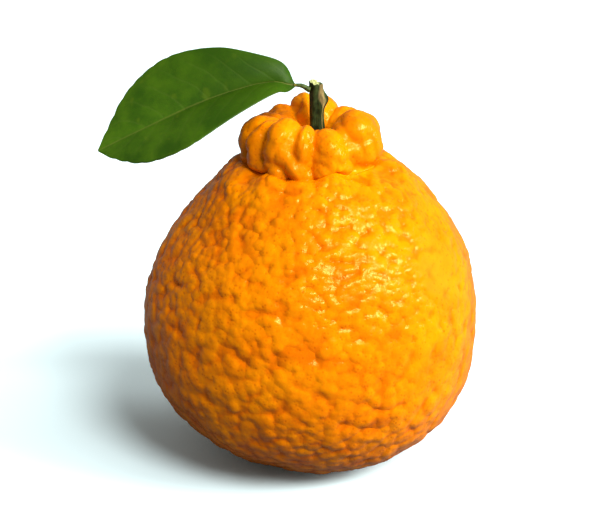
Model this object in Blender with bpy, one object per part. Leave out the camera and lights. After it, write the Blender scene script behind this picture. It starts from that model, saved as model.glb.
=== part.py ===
"""Shiranui mandarin, as picked: the whole fruit with its knobbly crown, a cut
piece of stem standing in the crown's pit, and one leaf on its stalk.

The fruit stands on a small flat spot. The origin is the centre of that spot,
Z points up through the stem, and -Y is the side that shows the diagonal knob.
All numbers below are millimetres and degrees; the mesh is made in metres.
"""

import math

import bmesh
import bpy
import numpy as np
from mathutils import Vector, noise

MM = 0.001

# The fruit's outline from the rest spot up to the pit: radius, height
FRUIT_WIDTH = 93.6
REST_SPOT_RADIUS = 9.0
CREASE_RADIUS = 17.0
CREASE_HEIGHT = 83.8
CROWN_CORE_RADIUS = 16.6
CROWN_CORE_CREST = 96.8
PIT_RADIUS = 5.6
PIT_HEIGHT = 92.0
FRUIT_OUTLINE = (
    (REST_SPOT_RADIUS, 0.0),
    (17.5, 1.6),
    (28.5, 5.9),
    (37.8, 13.6),
    (44.0, 24.2),
    (46.5, 34.5),
    (0.5 * FRUIT_WIDTH, 41.5),
    (46.0, 49.0),
    (42.5, 60.2),
    (35.8, 70.7),
    (27.8, 80.1),
    (23.8, 83.4),
    (20.6, 84.9),
    (18.6, 84.8),
    (CREASE_RADIUS, CREASE_HEIGHT),
    (15.9, CREASE_HEIGHT + 1.6),
    (16.0, 88.4),
    (CROWN_CORE_RADIUS, 91.6),
    (15.6, 95.0),
    (12.2, CROWN_CORE_CREST),
    (8.8, 95.8),
    (6.8, 94.0),
    (PIT_RADIUS, 92.6),
    (3.6, PIT_HEIGHT),
)

# The crown's knobs: the angle round the stem, from -Y towards +X, the centre's
# distance from the axis and height, the half sizes outwards, around and
# upwards, and how far the knob is rolled about its outward direction
CROWN_KNOBS = (
    (-104.0, 13.6, 89.2, 6.1, 4.2, 4.7, 0.0),
    (-85.0, 12.9, 91.6, 6.9, 4.8, 7.2, 0.0),
    (-60.0, 12.9, 91.3, 7.0, 4.3, 7.6, 0.0),
    (-34.0, 12.8, 91.9, 7.1, 5.4, 8.7, 0.0),
    (-9.5, 12.6, 91.4, 6.8, 2.6, 7.4, 0.0),
    (18.0, 12.8, 90.8, 6.7, 4.8, 7.2, 0.0),
    (66.0, 12.5, 92.3, 7.2, 7.4, 8.9, 0.0),
    (106.0, 12.6, 91.2, 7.0, 4.7, 7.3, 0.0),
    (135.0, 12.4, 90.9, 6.9, 4.2, 7.2, 0.0),
    (165.0, 12.0, 92.2, 7.3, 4.7, 8.6, 0.0),
    (-168.0, 11.4, 92.9, 7.5, 4.0, 8.8, 0.0),
    (-141.0, 12.5, 91.0, 7.1, 4.7, 7.8, 0.0),
    (-117.0, 12.8, 91.0, 6.8, 3.9, 6.8, 0.0),
    (-10.5, 15.3, 87.6, 4.7, 4.3, 2.5, 50.0),
    (-55.0, 14.3, 87.5, 4.9, 4.8, 3.0, 0.0),
    (-31.0, 14.7, 87.1, 4.5, 3.2, 2.6, 0.0),
    (-79.0, 14.2, 87.6, 4.9, 3.8, 3.0, 0.0),
    (8.0, 14.4, 87.6, 4.8, 2.8, 3.1, 0.0),
    (27.0, 13.9, 87.6, 4.9, 3.6, 3.2, 0.0),
    (119.0, 14.3, 87.5, 4.8, 4.6, 3.0, 0.0),
    (152.0, 14.5, 87.7, 4.8, 4.2, 3.1, -25.0),
    (-179.0, 14.4, 87.4, 4.8, 4.0, 2.9, 0.0),
    (-152.0, 14.6, 87.7, 4.9, 4.4, 3.1, 30.0),
    (-126.0, 14.3, 87.7, 4.8, 4.2, 3.1, 0.0),
)
# The rounding where knobs meet, how fast a knob's reach falls away beside it,
# and the ways over which the knobs grow out of the crease and die in the pit
KNOB_BLEND = 1.1
MISS_FALL = 3.0
KNOB_FADE_IN = 2.2
PIT_FADE = (1.0, 5.0)

# On its +X side the crease is shallow: how much it is filled, where and how wide
CREASE_FILL = 1.1
CREASE_FILL_ANGLE = 78.0
CREASE_FILL_REACH = 52.0
CREASE_FILL_WIDTH = 1.6

# The leaning of the ripe fruit to +X: height, spread and shift of each bend
SWAY = ((4.0, 12.0, 0.9), (30.0, 16.0, -0.8), (74.0, 12.0, 1.3))

# The rind's swells, dents and coarse pebbles: wave length and height
RIND_WAVES = ((34.0, 0.9), (15.0, 0.75), (6.5, 0.9))
RIND_SEED = 11
CROWN_RELIEF_SHARE = 0.3
REST_SPOT_FADE = 14.0
BODY_END = (-3.0, 2.0)
CREASE_CALM = 0.8
CREASE_CALM_WIDTH = 2.0

# The short pleats where the shoulder tucks in under the crown
PLEAT_LENGTH = 6.0
PLEAT_HEIGHT = 2.2
PLEAT_PLACE = 5.4
PLEAT_REACH = 4.5
PLEAT_SEED = 5

# Facets of the fruit, closer together on the crown
RIND_COLUMNS = 96
RIND_RINGS = 54
CROWN_FINENESS = 2.6
FINENESS_RAMP = (-14.0, -4.0)
OUTLINE_SAMPLES = 900

# The green button that the stem grows from, on the floor of the pit
CALYX_RADIUS = 3.0
CALYX_THICKNESS = 1.1
CALYX_POINTS = 5
CALYX_NOTCH = 0.14
CALYX_SHIFT = 0.9

# Gap between pieces that touch
GAP = 0.3

# The cut stem: height, leaning of its middle to +X and its radius
STEM_STATIONS = (
    (0.0, 1.35, 2.35),
    (1.6, 1.3, 2.0),
    (5.2, 1.2, 1.85),
    (8.6, 1.3, 1.95),
    (11.4, 1.2, 1.9),
    (14.0, 1.1, 1.85),
)
STEM_RIDGES = 5
STEM_RIDGE_HEIGHT = 0.17
STEM_SIDES = 20
STEM_TWIST = 40.0
STEM_RINGS = 13
BUD_HEIGHT = 9.4
BUD_ANGLE = 95.0
BUD_SIZE = 1.9
BUD_BULGE = 1.25
CUT_SLOPE = -0.45
CUT_TEAR = 0.35

# The leaf stalk: from the stem's side to the joint with the blade
STALK_PATH = (
    (-1.15, -0.9, 105.9),
    (-1.9, -1.0, 106.5),
    (-2.9, -1.0, 107.1),
    (-4.2, -1.0, 107.3),
)
STALK_RADII = (0.45, 0.6, 0.65, 0.5)
STALK_SIDES = 10
STALK_RINGS = 9

# The leaf blade: its midrib from the joint to the tip, its half width and the
# angles at which its two halves stand, at the joint and at the tip
MIDRIB_PATH = (
    (-4.7, -1.0, 107.2),
    (-11.5, -1.4, 108.1),
    (-20.0, -2.0, 106.3),
    (-31.0, -2.5, 102.4),
    (-45.0, -2.8, 95.8),
    (-58.1, -2.6, 89.3),
)
FRONT_EDGE = (
    (0.0, 0.55),
    (0.05, 3.9),
    (0.15, 7.9),
    (0.3, 11.9),
    (0.5, 15.8),
    (0.65, 15.7),
    (0.8, 12.4),
    (0.93, 6.0),
    (1.0, 0.35),
)
BACK_EDGE = (
    (0.0, 0.55),
    (0.05, 5.6),
    (0.15, 8.4),
    (0.3, 13.0),
    (0.5, 16.2),
    (0.65, 15.6),
    (0.8, 11.8),
    (0.93, 5.3),
    (1.0, 0.35),
)
LEAF_LENGTH = 58.0
BLADE_THICKNESS = 0.62
BLADE_TILT = (38.0, 40.5)
BLADE_FOLD = (47.0, 11.0)
FOLD_FADE_IN = 0.08
MARGIN_WAVES = 15
MARGIN_WAVE_DEPTH = 0.22
BLADE_ROWS = 44
BLADE_COLUMNS = 5


def clear_scene():
    for item in list(bpy.data.objects):
        bpy.data.objects.remove(item, do_unlink=True)


def make_material(name, colour, roughness):
    material = bpy.data.materials.new(name)
    material.use_nodes = True
    shader = material.node_tree.nodes["Principled BSDF"]
    shader.inputs["Base Color"].default_value = (*colour, 1.0)
    shader.inputs["Roughness"].default_value = roughness
    shader.inputs["Metallic"].default_value = 0.0
    return material


def make_piece(name, corners, faces, material):
    """One closed solid from corners in millimetres."""
    mesh = bpy.data.meshes.new(name)
    mesh.from_pydata([tuple(corner) for corner in np.asarray(corners) * MM], [], faces)
    solid = bmesh.new()
    solid.from_mesh(mesh)
    bmesh.ops.triangulate(solid, faces=solid.faces, quad_method="FIXED")
    bmesh.ops.recalc_face_normals(solid, faces=solid.faces)
    solid.to_mesh(mesh)
    solid.free()
    mesh.materials.append(material)
    mesh.shade_smooth()
    mesh.set_sharp_from_angle(angle=math.radians(50.0))
    piece = bpy.data.objects.new(name, mesh)
    bpy.context.collection.objects.link(piece)
    return piece


def smooth_step(low, high, value):
    share = np.clip((value - low) / (high - low), 0.0, 1.0)
    return share * share * (3.0 - 2.0 * share)


def bell(distance, reach):
    return np.exp(-(distance / reach) ** 2)


def smooth_curve(points, count):
    """A curve of even steps through the points (Catmull-Rom)."""
    points = np.asarray(points, dtype=float)
    first = 2.0 * points[0] - points[1]
    last = 2.0 * points[-1] - points[-2]
    padded = np.vstack([first, points, last])
    fine = []
    steps = np.linspace(0.0, 1.0, 60, endpoint=False)[:, None]
    for index in range(len(points) - 1):
        before, start, end, after = padded[index:index + 4]
        leaving = 0.5 * (end - before)
        arriving = 0.5 * (after - start)
        fine.append(
            (2.0 * steps**3 - 3.0 * steps**2 + 1.0) * start
            + (steps**3 - 2.0 * steps**2 + steps) * leaving
            + (-2.0 * steps**3 + 3.0 * steps**2) * end
            + (steps**3 - steps**2) * arriving
        )
    fine = np.vstack(fine + [points[-1:]])
    lengths = np.linalg.norm(np.diff(fine, axis=0), axis=1)
    travelled = np.concatenate([[0.0], np.cumsum(lengths)])
    even = np.linspace(0.0, travelled[-1], count)
    return np.stack([np.interp(even, travelled, column) for column in fine.T], axis=1)


def fruit_outline():
    """The outline, its outward normals, the way travelled along it and the crease's place."""
    outline = smooth_curve(FRUIT_OUTLINE, OUTLINE_SAMPLES)
    slope = np.gradient(outline, axis=0)
    slope = slope / np.linalg.norm(slope, axis=1, keepdims=True)
    normals = np.stack([slope[:, 1], -slope[:, 0]], axis=1)
    steps = np.linalg.norm(np.diff(outline, axis=0), axis=1)
    travel = np.concatenate([[0.0], np.cumsum(steps)])
    from_crease = outline - (CREASE_RADIUS, CREASE_HEIGHT)
    crease = travel[np.argmin(np.linalg.norm(from_crease, axis=1))]
    return outline, normals, travel, crease


def ring_places(travel, crease, rings):
    """Where the rings lie along the outline, closer together from the shoulder on."""
    fine = smooth_step(*FINENESS_RAMP, travel - crease)
    crowding = np.cumsum(1.0 + (CROWN_FINENESS - 1.0) * fine)
    return np.interp(np.linspace(crowding[0], crowding[-1], rings), crowding, travel)


def knob_reach(points, normals, knob):
    """How far along each normal the knob's skin lies, falling away where it misses."""
    angle, distance, height, outward, around, upward, roll = knob
    turn = math.radians(angle)
    tip = math.radians(roll)
    radial = np.array([math.sin(turn), -math.cos(turn), 0.0])
    side = np.array([math.cos(turn), math.sin(turn), 0.0])
    up = np.array([0.0, 0.0, 1.0])
    axes = np.stack([
        radial / outward,
        (math.cos(tip) * side - math.sin(tip) * up) / around,
        (math.sin(tip) * side + math.cos(tip) * up) / upward,
    ])
    centre = distance * radial + height * up
    start = (points - centre) @ axes.T
    heading = normals @ axes.T
    square = np.sum(heading * heading, axis=1)
    half = np.sum(start * heading, axis=1)
    rest = np.sum(start * start, axis=1) - 1.0
    spread = half * half - square * rest
    beside = np.where(spread > 0.0, np.sqrt(np.abs(spread)), -MISS_FALL * np.sqrt(np.abs(spread)))
    return (beside - half) / square


def smooth_larger(first, second, blend):
    share = np.clip(0.5 + 0.5 * (first - second) / blend, 0.0, 1.0)
    return second + (first - second) * share + blend * share * (1.0 - share)


def wave(points, length, seed):
    """Smooth noise between about -1 and 1, with bumps of the given length."""
    shift = Vector((seed * 3.7, seed * 5.3, seed * 7.9))
    return np.array([noise.noise(Vector(point) / length + shift) for point in points])


def rind_surface(rings, columns):
    """Points of the fruit's skin, ring by ring from the rest spot up."""
    outline, outline_normals, travel, crease = fruit_outline()
    places = ring_places(travel, crease, rings)
    turns = np.linspace(0.0, 2.0 * math.pi, columns, endpoint=False)
    place, turn = (grid.ravel() for grid in np.meshgrid(places, turns, indexing="ij"))
    east = np.sin(turn)
    north = -np.cos(turn)
    flat = np.stack([east, north, 0.0 * turn], axis=1)
    up = np.array([0.0, 0.0, 1.0])
    radius = np.interp(place, travel, outline[:, 0])
    height = np.interp(place, travel, outline[:, 1])
    outward = np.interp(place, travel, outline_normals[:, 0])
    upward = np.interp(place, travel, outline_normals[:, 1])
    points = radius[:, None] * flat + height[:, None] * up
    normals = outward[:, None] * flat + upward[:, None] * up

    past_crease = place - crease
    on_crown = smooth_step(0.0, KNOB_FADE_IN, past_crease)
    to_pit = travel[-1] - place
    out_of_pit = smooth_step(*PIT_FADE, to_pit)
    reach = np.zeros(len(points))
    for knob in CROWN_KNOBS:
        reach = smooth_larger(reach, knob_reach(points, normals, knob), KNOB_BLEND)

    relief = np.zeros(len(points))
    for number, (length, size) in enumerate(RIND_WAVES):
        relief += size * wave(points, length, RIND_SEED + number)
    body = 1.0 - smooth_step(*BODY_END, past_crease)
    off_spot = smooth_step(0.0, REST_SPOT_FADE, place)
    share = np.maximum(body, CROWN_RELIEF_SHARE * out_of_pit) * off_spot
    share = share * (1.0 - CREASE_CALM * bell(past_crease, CREASE_CALM_WIDTH))
    pleats = wave(CREASE_RADIUS * flat, PLEAT_LENGTH, PLEAT_SEED)
    pleats = pleats * bell(past_crease + PLEAT_PLACE, PLEAT_REACH)
    away = (np.degrees(turn) - CREASE_FILL_ANGLE + 180.0) % 360.0 - 180.0
    fill = bell(away, CREASE_FILL_REACH) * bell(past_crease, CREASE_FILL_WIDTH)
    lift = reach * on_crown * out_of_pit + share * relief
    lift += body * PLEAT_HEIGHT * pleats + CREASE_FILL * fill
    points = points + normals * lift[:, None]

    for level, spread, shift in SWAY:
        points[:, 0] += shift * bell(points[:, 2] - level, spread) * body * off_spot
    return points.reshape(rings, columns, 3)


def make_fruit():
    corners, faces = ring_solid(rind_surface(RIND_RINGS, RIND_COLUMNS))
    skin = make_material("rind_orange", (0.93, 0.38, 0.02), 0.32)
    return make_piece("fruit", corners, faces, skin)


def ring_solid(rings):
    """Corners and faces of a closed tube through rings of the same number of points."""
    count = len(rings[0])
    corners = np.vstack([np.vstack(rings), rings[0].mean(axis=0), rings[-1].mean(axis=0)])
    faces = []
    for level in range(len(rings) - 1):
        for side in range(count):
            following = (side + 1) % count
            low = level * count
            high = low + count
            faces.append((low + side, low + following, high + following, high + side))
    bottom = len(rings) * count
    top = bottom + 1
    last = (len(rings) - 1) * count
    for side in range(count):
        following = (side + 1) % count
        faces.append((following, side, bottom))
        faces.append((last + side, last + following, top))
    return corners, faces


def make_calyx():
    """A low button with five blunt points and a rounded edge."""
    sides = CALYX_POINTS * 8
    angles = np.linspace(0.0, 2.0 * math.pi, sides, endpoint=False)
    lobes = 1.0 - CALYX_NOTCH * (0.5 - 0.5 * np.cos(CALYX_POINTS * angles))
    base = PIT_HEIGHT + GAP
    rings = []
    for share, level in ((0.86, 0.0), (1.0, 0.35), (0.93, 0.7), (0.7, 1.0)):
        radius = CALYX_RADIUS * share * lobes
        rings.append(np.stack([
            radius * np.cos(angles) + CALYX_SHIFT,
            radius * np.sin(angles),
            np.full(sides, base + level * CALYX_THICKNESS),
        ], axis=1))
    corners, faces = ring_solid(rings)
    green = make_material("calyx_green", (0.10, 0.14, 0.03), 0.6)
    return make_piece("calyx", corners, faces, green)


def make_stem():
    """The cut twig: ridged, a little twisted, with a bud on its side and a torn top."""
    stations = smooth_curve(STEM_STATIONS, STEM_RINGS)
    angles = np.linspace(0.0, 2.0 * math.pi, STEM_SIDES, endpoint=False)
    foot = PIT_HEIGHT + 2.0 * GAP + CALYX_THICKNESS
    top = stations[-1, 0]
    rings = []
    for level, lean, radius in stations:
        twist = math.radians(STEM_TWIST) * level / top
        ridges = 1.0 + STEM_RIDGE_HEIGHT / radius * np.cos(STEM_RIDGES * (angles - twist))
        around = np.cos(angles - math.radians(BUD_ANGLE - 90.0))
        bud = BUD_BULGE * np.exp(-((level - BUD_HEIGHT) / BUD_SIZE) ** 2)
        wide = radius * ridges + bud * np.maximum(around, 0.0) ** 3
        cut = smooth_step(top - 4.0, top, level)
        slope = CUT_SLOPE * np.cos(angles)
        tear = CUT_TEAR * np.sin(3.0 * angles + 0.6) * np.cos(5.0 * angles)
        rings.append(np.stack([
            lean + wide * np.cos(angles),
            wide * np.sin(angles),
            foot + level + cut * (slope + tear),
        ], axis=1))
    corners, faces = ring_solid(rings)
    bark = make_material("stem_bark", (0.035, 0.045, 0.015), 0.7)
    return make_piece("stem", corners, faces, bark)


def frame_along(path):
    """Unit directions along a path, and two across it."""
    ahead = np.gradient(path, axis=0)
    ahead = ahead / np.linalg.norm(ahead, axis=1, keepdims=True)
    level = np.cross(ahead, (0.0, 0.0, 1.0))
    level = level / np.linalg.norm(level, axis=1, keepdims=True)
    upright = np.cross(level, ahead)
    return ahead, level, upright


def make_petiole():
    path = smooth_curve(STALK_PATH, STALK_RINGS)
    stretch = np.linspace(0.0, 1.0, len(STALK_RADII))
    radii = np.interp(np.linspace(0.0, 1.0, STALK_RINGS), stretch, STALK_RADII)
    level, upright = frame_along(path)[1:]
    angles = np.linspace(0.0, 2.0 * math.pi, STALK_SIDES, endpoint=False)[:, None]
    rings = []
    for point, side, up, radius in zip(path, level, upright, radii):
        rings.append(point + radius * (np.cos(angles) * side + np.sin(angles) * up))
    corners, faces = ring_solid(rings)
    green = make_material("stalk_green", (0.12, 0.20, 0.04), 0.55)
    return make_piece("petiole", corners, faces, green)


def blade_half_width(along, edge):
    """Half width of the leaf at each share of its length, with its crenate margin."""
    outline = smooth_curve(np.array(edge) * (LEAF_LENGTH, 1.0), OUTLINE_SAMPLES)
    plain = np.interp(along * LEAF_LENGTH, outline[:, 0], outline[:, 1])
    crenate = np.abs(np.sin(MARGIN_WAVES * math.pi * along)) - 0.6
    ends = smooth_step(0.15, 0.3, along) * smooth_step(1.0, 0.93, along)
    return plain + MARGIN_WAVE_DEPTH * crenate * ends


def blade_surface(rows, columns):
    """The blade's middle layer and its upward normals, row by row from the joint."""
    along = np.linspace(0.0, 1.0, rows + 1)
    midrib = smooth_curve(MIDRIB_PATH, rows + 1)
    ahead = frame_along(midrib)[0]
    tilt = np.radians(BLADE_TILT[0] + (BLADE_TILT[1] - BLADE_TILT[0]) * along)
    fold = np.radians(BLADE_FOLD[0] + (BLADE_FOLD[1] - BLADE_FOLD[0]) * along)
    fold = fold * smooth_step(0.0, FOLD_FADE_IN, along)
    across = np.stack([0.0 * tilt, np.cos(tilt), np.sin(tilt)], axis=1)
    across = across - np.sum(across * ahead, axis=1, keepdims=True) * ahead
    across = across / np.linalg.norm(across, axis=1, keepdims=True)
    facing = np.cross(ahead, across)
    facing = facing * np.sign(facing[:, 2:3])
    widths = [blade_half_width(along, edge) for edge in (FRONT_EDGE, BACK_EDGE)]
    points = np.zeros((rows + 1, 2 * columns + 1, 3))
    for column in range(-columns, columns + 1):
        share = column / columns
        half = widths[int(share > 0.0)][:, None]
        bend = fold * (0.55 + 0.45 * (1.0 - abs(share)))
        spread = np.cos(bend)[:, None] * across * share
        rise = np.sin(bend)[:, None] * facing * abs(share)
        points[:, column + columns] = midrib + half * (spread + rise)
    along_rows = np.gradient(points, axis=0)
    along_columns = np.gradient(points, axis=1)
    normals = np.cross(along_rows, along_columns)
    normals = normals / np.linalg.norm(normals, axis=2, keepdims=True)
    normals = normals * np.sign(np.sum(normals * facing[:, None, :], axis=2, keepdims=True))
    return points, normals


def make_leaf():
    """The blade as a thin solid, cut into the same triangles on both faces."""
    middle, normals = blade_surface(BLADE_ROWS, BLADE_COLUMNS)
    rows, columns = middle.shape[:2]
    half = 0.5 * BLADE_THICKNESS
    upper = (middle + half * normals).reshape(-1, 3)
    lower = (middle - half * normals).reshape(-1, 3)
    shift = len(upper)
    faces = []

    def corner(row, column):
        return row * columns + column

    for row in range(rows - 1):
        for column in range(columns - 1):
            near = corner(row, column)
            far = corner(row + 1, column)
            for triangle in ((near, near + 1, far + 1), (near, far + 1, far)):
                faces.append(triangle)
                faces.append(tuple(shift + index for index in reversed(triangle)))
    rim = [corner(0, column) for column in range(columns)]
    rim += [corner(row, columns - 1) for row in range(1, rows)]
    rim += [corner(rows - 1, column) for column in range(columns - 2, -1, -1)]
    rim += [corner(row, 0) for row in range(rows - 2, 0, -1)]
    for place, first in enumerate(rim):
        second = rim[(place + 1) % len(rim)]
        faces.append((second, first, shift + first))
        faces.append((second, shift + first, shift + second))
    green = make_material("leaf_green", (0.06, 0.14, 0.02), 0.4)
    return make_piece("leaf", np.vstack([upper, lower]), faces, green)


def main():
    clear_scene()
    make_fruit()
    make_calyx()
    make_stem()
    make_petiole()
    make_leaf()


main()
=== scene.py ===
# %% [markdown]
# # A shiranui mandarin
# The fruit has a pebbly, shiny rind, a raised crown of smooth knobs, a cut piece of
# stem standing in the crown's pit and one leaf. The solid model gives the main form
# of each piece. Here every piece is made again, finer, on the same formulas and in
# the same place. Where its main form differs from the solid model's on purpose, a
# comment or the text before it says so.

# %% Load the solid model
import math

import bmesh
import bpy
import numpy as np
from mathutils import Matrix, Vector, noise


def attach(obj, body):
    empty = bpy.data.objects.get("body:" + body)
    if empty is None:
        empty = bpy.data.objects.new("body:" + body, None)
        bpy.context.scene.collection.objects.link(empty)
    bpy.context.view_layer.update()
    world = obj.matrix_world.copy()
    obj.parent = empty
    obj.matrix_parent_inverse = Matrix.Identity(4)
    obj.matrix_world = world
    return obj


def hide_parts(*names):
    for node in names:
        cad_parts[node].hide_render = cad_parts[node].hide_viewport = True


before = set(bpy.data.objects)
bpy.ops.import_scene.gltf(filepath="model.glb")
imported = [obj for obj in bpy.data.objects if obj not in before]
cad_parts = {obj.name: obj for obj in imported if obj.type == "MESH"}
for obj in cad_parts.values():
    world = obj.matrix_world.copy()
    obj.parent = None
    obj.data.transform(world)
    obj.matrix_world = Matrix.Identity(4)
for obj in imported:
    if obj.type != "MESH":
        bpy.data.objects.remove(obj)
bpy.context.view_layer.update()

print("nodes:", sorted(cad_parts))

# %% [markdown]
# ## Meshes from formulas
# Every piece is a stack of rings or a sheet of points worked out in millimetres.
# One helper turns points and faces into a mesh in metres whose faces point outwards.
# The alternative, modelling by hand with modifiers, couldn't follow the solid model
# as closely.

# %% Make a mesh from points in millimetres
MM = 0.001


def make_mesh(name, corners, faces):
    """An object at the origin from corners in millimetres, its faces pointing outwards."""
    mesh = bpy.data.meshes.new(name)
    mesh.from_pydata((np.asarray(corners) * MM).tolist(), [], faces)
    solid = bmesh.new()
    solid.from_mesh(mesh)
    bmesh.ops.recalc_face_normals(solid, faces=solid.faces)
    solid.to_mesh(mesh)
    solid.free()
    mesh.shade_smooth()
    piece = bpy.data.objects.new(name, mesh)
    bpy.context.scene.collection.objects.link(piece)
    return piece


def store(piece, name, values):
    """Keeps one number for each point, for the node trees and the materials to read."""
    attribute = piece.data.attributes.new(name, "FLOAT", "POINT")
    attribute.data.foreach_set("value", np.asarray(values, dtype=np.float32).ravel())


def count_triangles(piece):
    return sum(len(face.vertices) - 2 for face in piece.data.polygons)


# %% Close a tube through rings of points
def ring_solid(rings):
    """Corners and faces of a closed tube through rings of the same number of points."""
    count = len(rings[0])
    corners = np.vstack([np.vstack(rings), rings[0].mean(axis=0), rings[-1].mean(axis=0)])
    faces = []
    for level in range(len(rings) - 1):
        low = level * count
        high = low + count
        for side in range(count):
            following = (side + 1) % count
            faces.append((low + side, low + following, high + following, high + side))
    bottom = len(rings) * count
    last = bottom - count
    for side in range(count):
        following = (side + 1) % count
        faces.append((following, side, bottom))
        faces.append((last + side, last + following, bottom + 1))
    return corners, faces


# %% Ease, bump and curve formulas
def smooth_step(low, high, value):
    share = np.clip((value - low) / (high - low), 0.0, 1.0)
    return share * share * (3.0 - 2.0 * share)


def bell(distance, reach):
    return np.exp(-(distance / reach) ** 2)


def degrees_from(turn, angle):
    """Degrees between each turn round the stem and an angle, from -180 to 180."""
    return (np.degrees(turn) - angle + 180.0) % 360.0 - 180.0


def wave(points, length, seed):
    """Smooth noise between about -1 and 1, with bumps of the given length."""
    shift = Vector((seed * 3.7, seed * 5.3, seed * 7.9))
    return np.array([noise.noise(Vector(point) / length + shift) for point in points])


def smooth_curve(points, count):
    """A curve of even steps through the points (Catmull-Rom)."""
    points = np.asarray(points, dtype=float)
    first = 2.0 * points[0] - points[1]
    last = 2.0 * points[-1] - points[-2]
    padded = np.vstack([first, points, last])
    fine = []
    steps = np.linspace(0.0, 1.0, 60, endpoint=False)[:, None]
    for index in range(len(points) - 1):
        before, start, end, after = padded[index:index + 4]
        leaving = 0.5 * (end - before)
        arriving = 0.5 * (after - start)
        fine.append(
            (2.0 * steps**3 - 3.0 * steps**2 + 1.0) * start
            + (steps**3 - 2.0 * steps**2 + steps) * leaving
            + (-2.0 * steps**3 + 3.0 * steps**2) * end
            + (steps**3 - steps**2) * arriving
        )
    fine = np.vstack(fine + [points[-1:]])
    lengths = np.linalg.norm(np.diff(fine, axis=0), axis=1)
    travelled = np.concatenate([[0.0], np.cumsum(lengths)])
    even = np.linspace(0.0, travelled[-1], count)
    return np.stack([np.interp(even, travelled, column) for column in fine.T], axis=1)


# %% [markdown]
# ## Node trees from a few helpers
# A Geometry Nodes tree shapes what follows a rule, and a shader group is an effect
# that several materials share. Both are made of nodes and links, so the same small
# helpers write them: one adds a node, and the others add arithmetic.

# %% Add nodes and links
def new_tree(name, kind, inputs, outputs):
    """A node group with named sockets, and its input sockets and output sockets."""
    tree = bpy.data.node_groups.new(name, kind)
    for label, socket, default in inputs:
        made = tree.interface.new_socket(label, in_out="INPUT", socket_type=socket)
        if default is not None:
            made.default_value = default
    for label, socket in outputs:
        tree.interface.new_socket(label, in_out="OUTPUT", socket_type=socket)
    given = tree.nodes.new("NodeGroupInput").outputs
    result = tree.nodes.new("NodeGroupOutput").inputs
    return tree, given, result


def add(tree, kind, inputs=None, **settings):
    """One node; each input is a plain value or another node's output."""
    node = tree.nodes.new(kind)
    node.location = (200.0 * len(tree.nodes), 0.0)
    for name, value in settings.items():
        setattr(node, name, value)
    for key, value in (inputs or {}).items():
        if isinstance(value, bpy.types.NodeSocket):
            tree.links.new(value, node.inputs[key])
        else:
            node.inputs[key].default_value = value
    return node


def calc(tree, operation, *values):
    return add(tree, "ShaderNodeMath", dict(enumerate(values)), operation=operation).outputs[0]


def vector(tree, operation, *values):
    return add(tree, "ShaderNodeVectorMath", dict(enumerate(values)), operation=operation).outputs[0]


def scaled(tree, value, size):
    inputs = {0: value, "Scale": size}
    return add(tree, "ShaderNodeVectorMath", inputs, operation="SCALE").outputs[0]


def eased(tree, value, low, high):
    """0 below low and 1 above high, with a soft step between them."""
    inputs = {"Value": value, "From Min": low, "From Max": high}
    return add(tree, "ShaderNodeMapRange", inputs, interpolation_type="SMOOTHSTEP").outputs[0]


# %% Add noise and cells measured in millimetres
def noise_of(tree, place, size, detail=2.0, roughness=0.5):
    """A noise texture on a place in millimetres: its factor and its colour."""
    inputs = {"Vector": place, "Scale": calc(tree, "DIVIDE", 1.0, size)}
    inputs |= {"Detail": detail, "Roughness": roughness}
    return add(tree, "ShaderNodeTexNoise", inputs).outputs


def cells_of(tree, place, size, feature, smoothness=0.3):
    """Distances in a cell pattern on a place in millimetres."""
    inputs = {"Vector": place, "Scale": calc(tree, "DIVIDE", 1.0, size)}
    cells = add(tree, "ShaderNodeTexVoronoi", inputs, feature=feature)
    if feature == "SMOOTH_F1":
        cells.inputs["Smoothness"].default_value = smoothness
    return cells.outputs["Distance"]


# %% Run a tree on a piece and keep the plain mesh
def grow(piece, tree, **values):
    """The piece's mesh as the tree leaves it, with no modifier left on the piece."""
    modifier = piece.modifiers.new(tree.name, "NODES")
    modifier.node_group = tree
    for item in tree.interface.items_tree:
        if item.in_out == "INPUT" and item.name in values:
            modifier[item.identifier] = values[item.name]
    graph = bpy.context.evaluated_depsgraph_get()
    grown = piece.evaluated_get(graph)
    mesh = bpy.data.meshes.new_from_object(grown, preserve_all_data_layers=True, depsgraph=graph)
    piece.modifiers.clear()
    piece.data = mesh
    mesh.name = piece.name
    mesh.shade_smooth()
    print(piece.name, "from tree", tree.name, "has", count_triangles(piece), "triangles")
    return piece


# %% [markdown]
# ## Effects that several materials share
# The rind, the leaf and the leaf stalk all carry oil glands, tiny round dots under a
# waxy skin. All living surfaces here are mottled, and bark and torn wood show long
# fibres. Each effect is one group, built once and placed with its own values.

# %% Oil glands
def build_oil_glands():
    inputs = [
        ("Place", "NodeSocketVector", None),
        ("Spacing", "NodeSocketFloat", 1.1),
        ("Dot Size", "NodeSocketFloat", 0.3),
    ]
    outputs = [("Dots", "NodeSocketFloat"), ("Height", "NodeSocketFloat")]
    tree, given, result = new_tree("oil_glands", "ShaderNodeTree", inputs, outputs)
    distance = cells_of(tree, given["Place"], given["Spacing"], "F1")
    dots = calc(tree, "SUBTRACT", 1.0, eased(tree, distance, 0.0, given["Dot Size"]))
    uneven = eased(tree, noise_of(tree, given["Place"], 5.0)[0], 0.3, 0.6)
    shown = calc(tree, "MULTIPLY", dots, uneven)
    tree.links.new(shown, result["Dots"])
    tree.links.new(calc(tree, "SUBTRACT", 1.0, shown), result["Height"])
    return tree


OIL_GLANDS = build_oil_glands()
print(OIL_GLANDS.name, "has", len(OIL_GLANDS.nodes), "nodes")


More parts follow.
